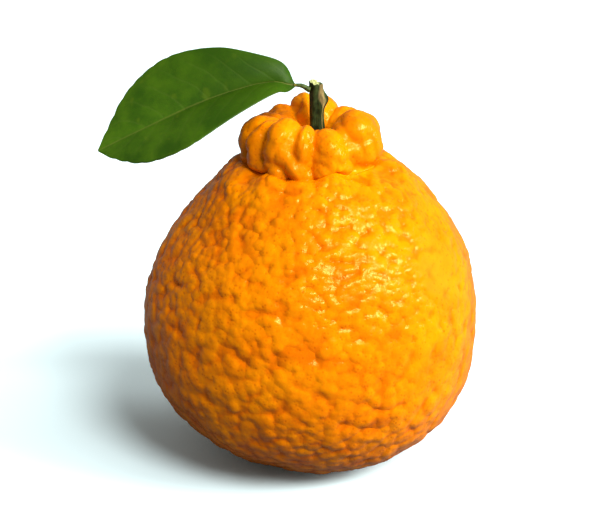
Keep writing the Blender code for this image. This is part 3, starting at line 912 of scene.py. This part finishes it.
def stem_rings():
    """Rings of the twig and of its torn top, and the angles of their points."""
    stations = smooth_curve(STEM_STATIONS, STEM_RINGS)
    angles = np.linspace(0.0, 2.0 * math.pi, STEM_SIDES, endpoint=False)
    top = stations[-1, 0]
    rings = []
    for level, lean, radius in stations:
        twist = math.radians(STEM_TWIST) * level / top
        ridges = 1.0 + STEM_RIDGE_HEIGHT / radius * np.cos(STEM_RIDGES * (angles - twist))
        around = np.cos(angles - math.radians(BUD_TURN))
        bud = BUD_BULGE * np.exp(-((level - BUD_HEIGHT) / BUD_SIZE) ** 2)
        wide = radius * ridges + bud * np.maximum(around, 0.0) ** 3
        cut = smooth_step(top - CUT_REACH, top, level)
        slope = CUT_SLOPE * np.cos(angles)
        tear = CUT_TEAR * np.sin(3.0 * angles + 0.6) * np.cos(5.0 * angles)
        rings.append(np.stack([
            lean + wide * np.cos(angles),
            wide * np.sin(angles),
            STEM_FOOT + level + cut * (slope + tear),
        ], axis=1))
    rim = rings[-1]
    middle = rim.mean(axis=0)
    for share in CAP_RINGS:
        ring = middle + share * (rim - middle)
        torn = 0.5 + 0.5 * wave(ring, WOOD_GRAIN, WOOD_SEED)
        ring[:, 2] += WOOD_RISE * smooth_step(1.0, 0.7, share) * torn
        rings.append(ring)
    return rings, angles


def make_stem_form():
    rings, angles = stem_rings()
    corners, faces = ring_solid(rings)
    twig = make_mesh("twig", corners, faces)
    on_top = np.zeros(len(corners))
    across = np.outer(CAP_RINGS, np.cos(angles))
    on_top[STEM_RINGS * STEM_SIDES:-2] = (1.0 - smooth_step(0.1, 0.6, across)).ravel()
    on_top[-1] = 1.0
    store(twig, "wood", on_top)
    # The dry strip runs up at 322 degrees, swerves near the bud and widens above it
    height = np.linspace(0.0, 1.0, STEM_RINGS)[:, None]
    middle = 322.0 - 14.0 * bell(height - 0.76, 0.14)
    reach = 9.0 + 17.0 * smooth_step(0.5, 0.72, height)
    streak = bell(np.degrees(angles)[None, :] - middle, reach)
    dry = np.zeros(len(corners))
    dry[:STEM_RINGS * STEM_SIDES] = streak.ravel()
    store(twig, "dry", dry)
    return twig


twig_form = make_stem_form()
print("twig form:", count_triangles(twig_form), "triangles")


# %% The tree that furrows the bark
def build_bark_fibres():
    inputs = [
        ("Geometry", "NodeSocketGeometry", None),
        ("Furrow Width", "NodeSocketFloat", 0.55),
        ("Furrow Depth", "NodeSocketFloat", 0.14),
        ("Stretch", "NodeSocketFloat", 0.12),
        ("Seed", "NodeSocketFloat", 2.0),
        ("Bark", "NodeSocketMaterial", None),
    ]
    outputs = [("Geometry", "NodeSocketGeometry")]
    tree, given, result = new_tree("bark_fibres", "GeometryNodeTree", inputs, outputs)
    place = scaled(tree, add(tree, "GeometryNodeInputPosition").outputs[0], 1000.0)
    shift = scaled(tree, (5.1, 8.3, 2.9), given["Seed"])
    squeeze = add(tree, "ShaderNodeCombineXYZ", {0: 1.0, 1: 1.0, 2: given["Stretch"]}).outputs[0]
    drawn = vector(tree, "MULTIPLY", vector(tree, "ADD", place, shift), squeeze)
    strands = calc(tree, "SUBTRACT", noise_of(tree, drawn, given["Furrow Width"])[0], 0.5)
    wood = add(tree, "GeometryNodeInputNamedAttribute", {"Name": "wood"}).outputs[0]
    bark = calc(tree, "SUBTRACT", 1.0, wood)
    depth = calc(tree, "MULTIPLY", calc(tree, "MULTIPLY", strands, given["Furrow Depth"]), MM)
    normal = add(tree, "GeometryNodeInputNormal").outputs[0]
    offset = scaled(tree, normal, calc(tree, "MULTIPLY", depth, bark))
    raised = add(tree, "GeometryNodeSetPosition", {"Geometry": given["Geometry"], "Offset": offset})
    real = add(tree, "GeometryNodeRealizeInstances", {0: raised.outputs[0]}).outputs[0]
    done = add(tree, "GeometryNodeSetMaterial", {"Geometry": real, "Material": given["Bark"]})
    tree.links.new(done.outputs[0], result["Geometry"])
    return tree


# %% The bark's and the torn wood's material
def make_bark_finish():
    material, tree, shader, place = new_finish("bark", 0.62)
    shader.inputs["Specular IOR Level"].default_value = 0.2
    green = place_group(
        tree, MOTTLE, Place=place, Patch_Size=1.8,
        Dark=(0.008, 0.014, 0.003, 1.0), Light=(0.035, 0.052, 0.012, 1.0),
    )[0]
    strands = place_group(tree, FIBRES, Place=place, Width=0.4, Stretch=0.1)[0]
    tan = mix(tree, strands, (0.3, 0.22, 0.075, 1.0), (0.12, 0.09, 0.035, 1.0))
    ragged = calc(tree, "MULTIPLY_ADD", calc(tree, "SUBTRACT", strands, 0.5), 0.35, read(tree, "dry"))
    barked = mix(tree, eased(tree, ragged, 0.35, 0.75), green, tan)
    pale = mix(tree, strands, (0.62, 0.66, 0.3, 1.0), (0.38, 0.4, 0.14, 1.0))
    whole = mix(tree, read(tree, "wood"), barked, pale)
    tree.links.new(whole, shader.inputs["Base Color"])
    tree.links.new(bump(tree, strands, 0.08), shader.inputs["Normal"])
    return material


bark_finish = make_bark_finish()
twig = grow(twig_form, build_bark_fibres(), Bark=bark_finish)
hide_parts("stem")
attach(twig, "root")

# %% [markdown]
# ## Torn fibres on the stem's top
# Thin splinters of pale wood stand up where the twig was torn. They are alike but for
# their length and lean, so a tree scatters one small spike over the torn face and
# draws each length from a fixed seed.

# %% The tree that scatters splinters
def build_splinters():
    inputs = [
        ("Geometry", "NodeSocketGeometry", None),
        ("Density", "NodeSocketFloat", 5.0e6),
        ("Spacing", "NodeSocketFloat", 0.0003),
        ("Length", "NodeSocketFloat", 0.0011),
        ("Thickness", "NodeSocketFloat", 0.00016),
        ("Seed", "NodeSocketInt", 3),
        ("Wood", "NodeSocketMaterial", None),
    ]
    outputs = [("Geometry", "NodeSocketGeometry")]
    tree, given, result = new_tree("splinters", "GeometryNodeTree", inputs, outputs)
    scatter = add(tree, "GeometryNodeDistributePointsOnFaces", {
        "Mesh": given["Geometry"],
        "Distance Min": given["Spacing"],
        "Density Max": given["Density"],
        "Seed": given["Seed"],
    }, distribute_method="POISSON")
    spike = add(tree, "GeometryNodeMeshCone", {
        "Vertices": 6,
        "Side Segments": 2,
        "Radius Top": 0.00002,
        "Radius Bottom": given["Thickness"],
        "Depth": given["Length"],
    }).outputs[0]
    lean = add(tree, "FunctionNodeRandomValue", {
        0: (-0.3, -0.3, 0.0),
        1: (0.3, 0.3, 6.28),
        "Seed": given["Seed"],
    }, data_type="FLOAT_VECTOR").outputs[0]
    size = add(tree, "FunctionNodeRandomValue", {
        2: 0.5,
        3: 1.15,
        "Seed": calc(tree, "ADD", given["Seed"], 7),
    }, data_type="FLOAT").outputs[1]
    placed = add(tree, "GeometryNodeInstanceOnPoints", {
        "Points": scatter.outputs[0],
        "Instance": spike,
        "Rotation": lean,
        "Scale": size,
    }).outputs[0]
    real = add(tree, "GeometryNodeRealizeInstances", {0: placed}).outputs[0]
    done = add(tree, "GeometryNodeSetMaterial", {"Geometry": real, "Material": given["Wood"]})
    tree.links.new(done.outputs[0], result["Geometry"])
    return tree


# %% The torn wood's material, and the splinters
def make_wood_finish():
    material, tree, shader, place = new_finish("torn_wood", 0.7)
    strands = place_group(tree, FIBRES, Place=place, Width=0.3, Stretch=0.1)[0]
    pale = mix(tree, strands, (0.72, 0.74, 0.36, 1.0), (0.45, 0.48, 0.17, 1.0))
    tree.links.new(pale, shader.inputs["Base Color"])
    tree.links.new(bump(tree, strands, 0.05), shader.inputs["Normal"])
    return material


TORN_FACE_RADII = (0.85, 1.1)
TORN_FACE_SHIFT = 0.6
TORN_FACE_RISE = 0.1


def make_torn_face():
    """A small disc sunk in the stem's top, that the splinters stand on."""
    angles = np.linspace(0.0, 2.0 * math.pi, 24, endpoint=False)
    rim = stem_rings()[0][STEM_RINGS - 1]
    middle = rim.mean(axis=0) - (TORN_FACE_SHIFT, 0.0, 0.0)
    wide, deep = TORN_FACE_RADII
    corners = [
        middle + (wide * math.cos(angle), deep * math.sin(angle), TORN_FACE_RISE)
        for angle in angles
    ]
    faces = [tuple(range(len(corners)))]
    return make_mesh("splinters", corners, faces)


splinters = grow(make_torn_face(), build_splinters(), Wood=make_wood_finish())
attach(splinters, "root")

# %% [markdown]
# ## The leaf stalk
# A short green stalk joins the leaf to the stem, with a yellow-brown joint where the
# blade begins. A bevelled curve could make it, but a ribbed tube through rings of
# points keeps how far along each point lies, which the colour of the joint needs. It
# is thickest at the twig.

# %% Directions along a path
def frame_along(path):
    """Unit directions along a path, and two across it."""
    ahead = np.gradient(path, axis=0)
    ahead = ahead / np.linalg.norm(ahead, axis=1, keepdims=True)
    level = np.cross(ahead, (0.0, 0.0, 1.0))
    level = level / np.linalg.norm(level, axis=1, keepdims=True)
    return ahead, level, np.cross(level, ahead)


# %% The stalk
# The two ends reach a little into the twig and the blade, where the solid model has
# gaps. The twig's end is thicker than there, and only here the stalk has ribs.
STALK_PATH = (
    (-0.7, -0.85, 106.0),
    (-1.15, -0.9, 106.2),
    (-1.9, -1.0, 106.7),
    (-2.9, -1.0, 107.15),
    (-4.2, -1.0, 107.3),
    (-4.9, -1.02, 107.25),
)
STALK_RADII = (0.8, 0.74, 0.62, 0.58, 0.48, 0.42)
STALK_SIDES = 40
STALK_RINGS = 48


def make_stalk():
    path = smooth_curve(STALK_PATH, STALK_RINGS)
    along = np.linspace(0.0, 1.0, STALK_RINGS)
    radii = np.interp(along, np.linspace(0.0, 1.0, len(STALK_RADII)), STALK_RADII)
    level, upright = frame_along(path)[1:]
    angles = np.linspace(0.0, 2.0 * math.pi, STALK_SIDES, endpoint=False)
    ribs = 1.0 + 0.05 * np.cos(6.0 * angles)
    rings = []
    for point, side, up, radius in zip(path, level, upright, radii):
        across = np.cos(angles)[:, None] * side + np.sin(angles)[:, None] * up
        rings.append(point + radius * ribs[:, None] * across)
    corners, faces = ring_solid(rings)
    stalk = make_mesh("stalk", corners, faces)
    store(stalk, "along", np.append(np.repeat(along, STALK_SIDES), (0.0, 1.0)))
    return stalk


def make_stalk_finish():
    material, tree, shader, place = new_finish("stalk_skin", 0.5)
    shader.inputs["Specular IOR Level"].default_value = 0.25
    green = place_group(
        tree, MOTTLE, Place=place, Patch_Size=0.9,
        Dark=(0.02, 0.04, 0.006, 1.0), Light=(0.09, 0.13, 0.025, 1.0),
    )[0]
    glands = place_group(tree, OIL_GLANDS, Place=place, Spacing=0.5, Dot_Size=0.4)
    joint = eased(tree, read(tree, "along"), 0.8, 0.97)
    toned = mix(tree, joint, green, (0.2, 0.16, 0.02, 1.0))
    tree.links.new(toned, shader.inputs["Base Color"])
    tree.links.new(bump(tree, glands["Height"], 0.04), shader.inputs["Normal"])
    return material


stalk = make_stalk()
stalk.data.materials.append(make_stalk_finish())
print("stalk:", count_triangles(stalk), "triangles")
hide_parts("petiole")
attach(stalk, "root")

# %% [markdown]
# ## The leaf
# The blade folds a little along its midrib, and its margin is cut into low rounded
# teeth. It is a thin closed sheet with an upper and a lower face. The sheet's points
# follow the solid model's formula, with a closer grid, and each keeps how far along
# the leaf it lies and how far from the midrib, so that veins can be drawn by rule. The
# edges are up to 0.9 mm further in than the solid model's near the base and the tip.

# %% The blade's form
MIDRIB_PATH = (
    (-4.7, -1.0, 107.2),
    (-11.5, -1.4, 108.1),
    (-20.0, -2.0, 106.3),
    (-31.0, -2.5, 102.4),
    (-45.0, -2.8, 95.8),
    (-58.1, -2.6, 89.3),
)
FRONT_EDGE = (
    (0.0, 0.55), (0.05, 3.9), (0.15, 7.9), (0.3, 11.9), (0.5, 15.8),
    (0.65, 15.7), (0.8, 12.4), (0.93, 5.6), (1.0, 0.25),
)
BACK_EDGE = (
    (0.0, 0.55), (0.05, 4.7), (0.15, 8.1), (0.3, 13.0), (0.5, 16.2),
    (0.65, 15.6), (0.8, 11.8), (0.93, 4.7), (1.0, 0.25),
)
LEAF_LENGTH = 58.0
# Thinner than the solid model's blade, whose thickness has a lower limit
BLADE_THICKNESS = 0.4
BLADE_TILT = (38.0, 40.5)
BLADE_FOLD = (47.0, 11.0)
FOLD_FADE_IN = 0.08
# The teeth are deeper than in the solid model, uneven, and mostly towards the tip
TEETH = 15.0
TOOTH_DEPTH = 0.4
TOOTH_SEED = 31
TOOTH_DEPTH_LENGTH = 5.0
TOOTH_STEP_LENGTH = 9.0
BLADE_ROWS = 240
BLADE_COLUMNS = 34


def blade_half_width(along, edge):
    """Half width of the leaf at each share of its length, with its toothed margin."""
    outline = smooth_curve(np.array(edge) * (LEAF_LENGTH, 1.0), OUTLINE_SAMPLES)
    plain = np.interp(along * LEAF_LENGTH, outline[:, 0], outline[:, 1])
    line = np.stack([along * LEAF_LENGTH, 0.0 * along, 0.0 * along + edge[2][1]], axis=1)
    uneven = 0.6 + 0.8 * wave(line, TOOTH_DEPTH_LENGTH, TOOTH_SEED)
    count = TEETH * along + 0.5 * wave(line, TOOTH_STEP_LENGTH, TOOTH_SEED + 1)
    teeth = np.abs(np.sin(math.pi * count)) - 0.6
    ends = smooth_step(0.3, 0.55, along) * smooth_step(1.0, 0.93, along)
    return plain + TOOTH_DEPTH * uneven * teeth * ends


def blade_surface(rows, columns):
    """The blade's middle layer, its upward normals and the half widths of both sides."""
    along = np.linspace(0.0, 1.0, rows + 1)
    midrib = smooth_curve(MIDRIB_PATH, rows + 1)
    ahead = frame_along(midrib)[0]
    tilt = np.radians(BLADE_TILT[0] + (BLADE_TILT[1] - BLADE_TILT[0]) * along)
    fold = np.radians(BLADE_FOLD[0] + (BLADE_FOLD[1] - BLADE_FOLD[0]) * along)
    fold = fold * smooth_step(0.0, FOLD_FADE_IN, along)
    across = np.stack([0.0 * tilt, np.cos(tilt), np.sin(tilt)], axis=1)
    across = across - np.sum(across * ahead, axis=1, keepdims=True) * ahead
    across = across / np.linalg.norm(across, axis=1, keepdims=True)
    facing = np.cross(ahead, across)
    facing = facing * np.sign(facing[:, 2:3])
    widths = [blade_half_width(along, edge) for edge in (FRONT_EDGE, BACK_EDGE)]
    points = np.zeros((rows + 1, 2 * columns + 1, 3))
    out = np.zeros((rows + 1, 2 * columns + 1))
    for column in range(-columns, columns + 1):
        share = column / columns
        half = widths[int(share > 0.0)]
        bend = fold * (0.55 + 0.45 * (1.0 - abs(share)))
        spread = np.cos(bend)[:, None] * across * share
        rise = np.sin(bend)[:, None] * facing * abs(share)
        points[:, column + columns] = midrib + half[:, None] * (spread + rise)
        out[:, column + columns] = half * share
    normals = np.cross(np.gradient(points, axis=0), np.gradient(points, axis=1))
    normals = normals / np.linalg.norm(normals, axis=2, keepdims=True)
    normals = normals * np.sign(np.sum(normals * facing[:, None, :], axis=2, keepdims=True))
    return points, normals, out, along


def make_blade():
    """The blade as a thin solid with the same grid on both faces."""
    middle, normals, out, along = blade_surface(BLADE_ROWS, BLADE_COLUMNS)
    rows, columns = middle.shape[:2]
    half = 0.5 * BLADE_THICKNESS
    upper = (middle + half * normals).reshape(-1, 3)
    lower = (middle - half * normals).reshape(-1, 3)
    grid = np.arange(rows * columns).reshape(rows, columns)
    shift = grid.size
    faces = []
    for row in range(rows - 1):
        for column in range(columns - 1):
            quad = (grid[row, column], grid[row, column + 1],
                    grid[row + 1, column + 1], grid[row + 1, column])
            faces.append(tuple(int(index) for index in quad))
            faces.append(tuple(int(index) + shift for index in reversed(quad)))
    rim = [*grid[0], *grid[1:, -1], *grid[-1, -2::-1], *grid[-2:0:-1, 0]]
    for place, first in enumerate(rim):
        first = int(first)
        second = int(rim[(place + 1) % len(rim)])
        faces.append((second, first, shift + first, shift + second))
    blade = make_mesh("blade", np.vstack([upper, lower]), faces)
    every = np.repeat(along, columns)
    share = np.tile(np.abs(np.linspace(-1.0, 1.0, columns)), rows)
    side = np.tile(np.sign(np.linspace(-1.0, 1.0, columns)), rows)
    store(blade, "along", np.tile(every, 2))
    store(blade, "out", np.tile(np.abs(out).ravel(), 2))
    store(blade, "share", np.tile(share, 2))
    store(blade, "side", np.tile(side, 2))
    store(blade, "upper", np.repeat((1.0, 0.0), rows * columns))
    return blade


blade_form = make_blade()
print("blade form:", count_triangles(blade_form), "triangles")

# %% [markdown]
# ## Veins
# Side veins leave the midrib at even steps and sweep forward to the margin, so their
# place follows a rule: a count along the leaf, shifted by how far out the point lies.
# The tree turns that count into a repeating distance. It sinks the veins into the
# upper face, raises them on the lower one and swells the blade between them.

# %% The tree that draws the veins
def build_leaf_veins():
    inputs = [
        ("Geometry", "NodeSocketGeometry", None),
        ("Veins", "NodeSocketFloat", 9.0),
        ("Sweep", "NodeSocketFloat", 0.2),
        ("Vein Width", "NodeSocketFloat", 0.07),
        ("Vein Depth", "NodeSocketFloat", 0.035),
        ("Swell", "NodeSocketFloat", 0.07),
        ("Midrib Width", "NodeSocketFloat", 0.44),
        ("Midrib Depth", "NodeSocketFloat", 0.22),
        ("Skin", "NodeSocketMaterial", None),
    ]
    outputs = [("Geometry", "NodeSocketGeometry")]
    tree, given, result = new_tree("leaf_veins", "GeometryNodeTree", inputs, outputs)

    def stored(name):
        return add(tree, "GeometryNodeInputNamedAttribute", {"Name": name}).outputs[0]

    share = stored("share")
    swept = calc(tree, "MULTIPLY", calc(tree, "POWER", share, 1.25), given["Sweep"])
    start = calc(tree, "SUBTRACT", stored("along"), swept)
    place = scaled(tree, add(tree, "GeometryNodeInputPosition").outputs[0], 1000.0)
    stir = calc(tree, "SUBTRACT", noise_of(tree, place, 11.0)[0], 0.5)
    start = calc(tree, "MULTIPLY_ADD", stir, 0.05, start)
    count = calc(tree, "MULTIPLY", start, given["Veins"])
    count = calc(tree, "MULTIPLY_ADD", stored("side"), 0.22, count)
    cycle = calc(tree, "PINGPONG", count, 0.5)
    vein = calc(tree, "SUBTRACT", 1.0, eased(tree, cycle, 0.0, given["Vein Width"]))
    fade = calc(tree, "SUBTRACT", 1.0, eased(tree, share, 0.6, 0.97))
    vein = calc(tree, "MULTIPLY", vein, fade)
    ratio = calc(tree, "DIVIDE", stored("out"), given["Midrib Width"])
    midrib = calc(tree, "SUBTRACT", 1.0, eased(tree, ratio, 0.0, 1.0))
    taper = calc(tree, "SUBTRACT", 1.1, stored("along"))
    sink = calc(tree, "MULTIPLY", vein, given["Vein Depth"])
    groove = calc(tree, "MULTIPLY", calc(tree, "MULTIPLY", midrib, taper), given["Midrib Depth"])
    sink = calc(tree, "ADD", sink, groove)
    puff = calc(tree, "MULTIPLY", calc(tree, "MULTIPLY", cycle, fade), given["Swell"])
    face = calc(tree, "MULTIPLY_ADD", stored("upper"), 2.0, -1.0)
    rise = calc(tree, "MULTIPLY", calc(tree, "SUBTRACT", puff, sink), face)
    normal = add(tree, "GeometryNodeInputNormal").outputs[0]
    offset = scaled(tree, normal, calc(tree, "MULTIPLY", rise, MM))
    raised = add(tree, "GeometryNodeSetPosition", {"Geometry": given["Geometry"], "Offset": offset})
    marked = raised.outputs[0]
    for name, value in (("vein", vein), ("midrib", midrib)):
        kept = {"Geometry": marked, "Name": name, "Value": value}
        marked = add(tree, "GeometryNodeStoreNamedAttribute", kept, domain="POINT").outputs[0]
    real = add(tree, "GeometryNodeRealizeInstances", {0: marked}).outputs[0]
    done = add(tree, "GeometryNodeSetMaterial", {"Geometry": real, "Material": given["Skin"]})
    tree.links.new(done.outputs[0], result["Geometry"])
    return tree


# %% [markdown]
# ## The leaf's colour
# The upper face is a deep, waxy green with yellower flecks and a thin, light midrib,
# and towards the stalk it is painted darker, as painted shade.
# The lower face is paler and duller. The blade keeps which face a point is on, and the
# material reads that instead of asking which way the surface faces.

# %% The leaf's material
def make_leaf_finish():
    material, tree, shader, place = new_finish("leaf_wax", 0.45)
    shader.inputs["Specular IOR Level"].default_value = 0.14
    shader.inputs["Subsurface Weight"].default_value = 0.08
    shader.inputs["Subsurface Radius"].default_value = (0.3, 1.0, 0.1)
    shader.inputs["Subsurface Scale"].default_value = 0.0006
    green = place_group(
        tree, MOTTLE, Place=place, Patch_Size=9.0,
        Dark=(0.024, 0.07, 0.003, 1.0), Light=(0.05, 0.117, 0.004, 1.0),
    )[0]
    flecks = eased(tree, noise_of(tree, place, 3.4, detail=1.0)[0], 0.62, 0.78)
    green = mix(tree, calc(tree, "MULTIPLY", flecks, 0.5), green, (0.09, 0.14, 0.006, 1.0))
    # Painted shade: the upper face darkens towards the stalk
    shade_near_stalk = calc(tree, "SUBTRACT", 1.0, eased(tree, read(tree, "along"), 0.15, 0.75))
    green = mix(tree, calc(tree, "MULTIPLY", shade_near_stalk, 0.6), green, (0.016, 0.046, 0.001, 1.0))
    faint_vein = calc(tree, "MULTIPLY", read(tree, "vein"), 0.25)
    veined = mix(tree, faint_vein, green, (0.07, 0.12, 0.015, 1.0))
    rib = calc(tree, "SUBTRACT", 0.85, calc(tree, "MULTIPLY", read(tree, "along"), 0.5))
    rib = calc(tree, "MULTIPLY", read(tree, "midrib"), rib)
    ribbed = mix(tree, rib, veined, (0.12, 0.135, 0.025, 1.0))
    underside = mix(tree, read(tree, "vein"), (0.14, 0.23, 0.06, 1.0), (0.2, 0.28, 0.1, 1.0))
    whole = mix(tree, read(tree, "upper"), underside, ribbed)
    tree.links.new(whole, shader.inputs["Base Color"])
    rough = calc(tree, "MULTIPLY_ADD", read(tree, "upper"), -0.2, 0.62)
    tree.links.new(rough, shader.inputs["Roughness"])
    glands = place_group(tree, OIL_GLANDS, Place=place, Spacing=0.7, Dot_Size=0.35)
    tree.links.new(bump(tree, glands["Height"], 0.03), shader.inputs["Normal"])
    return material


blade = grow(blade_form, build_leaf_veins(), Skin=make_leaf_finish())
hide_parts("leaf")
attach(blade, "root")

# %% [markdown]
# ## Floor, light and camera
# The fruit stands on a plain white floor, lit so brightly that the picture shows it
# pure white outside the shadow. Three soft suns from the front right throw the short
# shadow back to the left, and a low one from the right brightens the rim. The broadest
# and the lowest are left out of reflections, so only two give highlights. A faint even
# light fills the rest, and is fainter still in reflections. The fruit's underside is
# deep orange with hardly any white in it, so the floor may give back little light.
# Its material looks at the Light Path, and is a cool white for the camera and dark for
# every other ray. The cool tint is a painted shade colour: where lit, the floor still
# shows white, and in its shadow it turns a cool grey. These are choices for the picture,
# and no part of the fruit.

# %% The floor
FLOOR_HALF_SIDE = 6000.0
FLOOR_CORNERS = [
    (-FLOOR_HALF_SIDE, -FLOOR_HALF_SIDE, 0.0),
    (FLOOR_HALF_SIDE, -FLOOR_HALF_SIDE, 0.0),
    (FLOOR_HALF_SIDE, FLOOR_HALF_SIDE, 0.0),
    (-FLOOR_HALF_SIDE, FLOOR_HALF_SIDE, 0.0),
]


def make_paper():
    material, tree, shader = new_finish("white_paper", 0.9)[:3]
    in_view = add(tree, "ShaderNodeLightPath").outputs["Is Camera Ray"]
    # Painted shade colour: the camera sees a cyan-tinted white, so the floor's shadow looks cool
    seen = mix(tree, in_view, (0.11, 0.11, 0.11, 1.0), (0.77, 0.95, 0.99, 1.0))
    tree.links.new(seen, shader.inputs["Base Color"])
    return material


floor = make_mesh("floor", FLOOR_CORNERS, [(0, 1, 2, 3)])
floor.data.materials.append(make_paper())
print("floor:", 2.0 * FLOOR_HALF_SIDE * MM, "m wide")

# %% The lights
SUN_COLOUR = (1.0, 0.99, 0.97)
# Name, degrees above the floor, degrees to the right of the camera, strength, width
# in degrees, and whether reflections show it
SUNS = (
    ("key_light", 43.0, 28.0, 2.1, 20.0, True),
    ("side_light", 32.0, 66.0, 2.1, 18.0, True),
    ("broad_light", 43.0, 42.0, 2.4, 40.0, False),
    ("rim_light", 13.0, 102.0, 4.0, 30.0, False),
)


def add_sun(name, height, turn, strength, width, reflected):
    light = bpy.data.lights.new(name, "SUN")
    light.energy = strength
    light.angle = math.radians(width)
    light.color = SUN_COLOUR
    lamp = bpy.data.objects.new(name, light)
    lamp.rotation_euler = (math.radians(90.0 - height), 0.0, math.radians(turn))
    lamp.visible_glossy = reflected
    bpy.context.scene.collection.objects.link(lamp)


for sun in SUNS:
    add_sun(*sun)
print("suns:", len(SUNS))

# %% The even light around
world = bpy.data.worlds.new("studio")
bpy.context.scene.world = world
world.use_nodes = True
sky = world.node_tree
surround = sky.nodes["Background"]
surround.inputs["Color"].default_value = (1.0, 0.96, 0.92, 1.0)
ray = add(sky, "ShaderNodeLightPath").outputs
strength = calc(sky, "MULTIPLY_ADD", ray["Is Camera Ray"], 0.9, 0.3)
strength = calc(sky, "MULTIPLY_ADD", ray["Is Glossy Ray"], -0.2, strength)
sky.links.new(strength, surround.inputs["Strength"])
bpy.context.scene.view_settings.view_transform = "Standard"
print("even light from world", world.name)

# %% The camera
CAMERA_TILT = math.radians(20.0)
CAMERA_DISTANCE = 0.52
CAMERA_TARGET = Vector((-0.0017, 0.0, 0.056))
MM_PER_PIXEL = 0.279
PHOTO_WIDTH = 612
SENSOR_WIDTH = 36.0

eye = bpy.data.cameras.new("camera")
eye.sensor_fit = "HORIZONTAL"
eye.sensor_width = SENSOR_WIDTH
eye.lens = CAMERA_DISTANCE / (MM_PER_PIXEL * MM) / PHOTO_WIDTH * SENSOR_WIDTH
eye.clip_start = 0.01
camera = bpy.data.objects.new("camera", eye)
back_off = Vector((0.0, -math.cos(CAMERA_TILT), math.sin(CAMERA_TILT)))
camera.location = CAMERA_TARGET + CAMERA_DISTANCE * back_off
camera.rotation_euler = (0.5 * math.pi - CAMERA_TILT, 0.0, 0.0)
bpy.context.scene.collection.objects.link(camera)
bpy.context.scene.camera = camera
print("lens in mm:", round(eye.lens, 1))
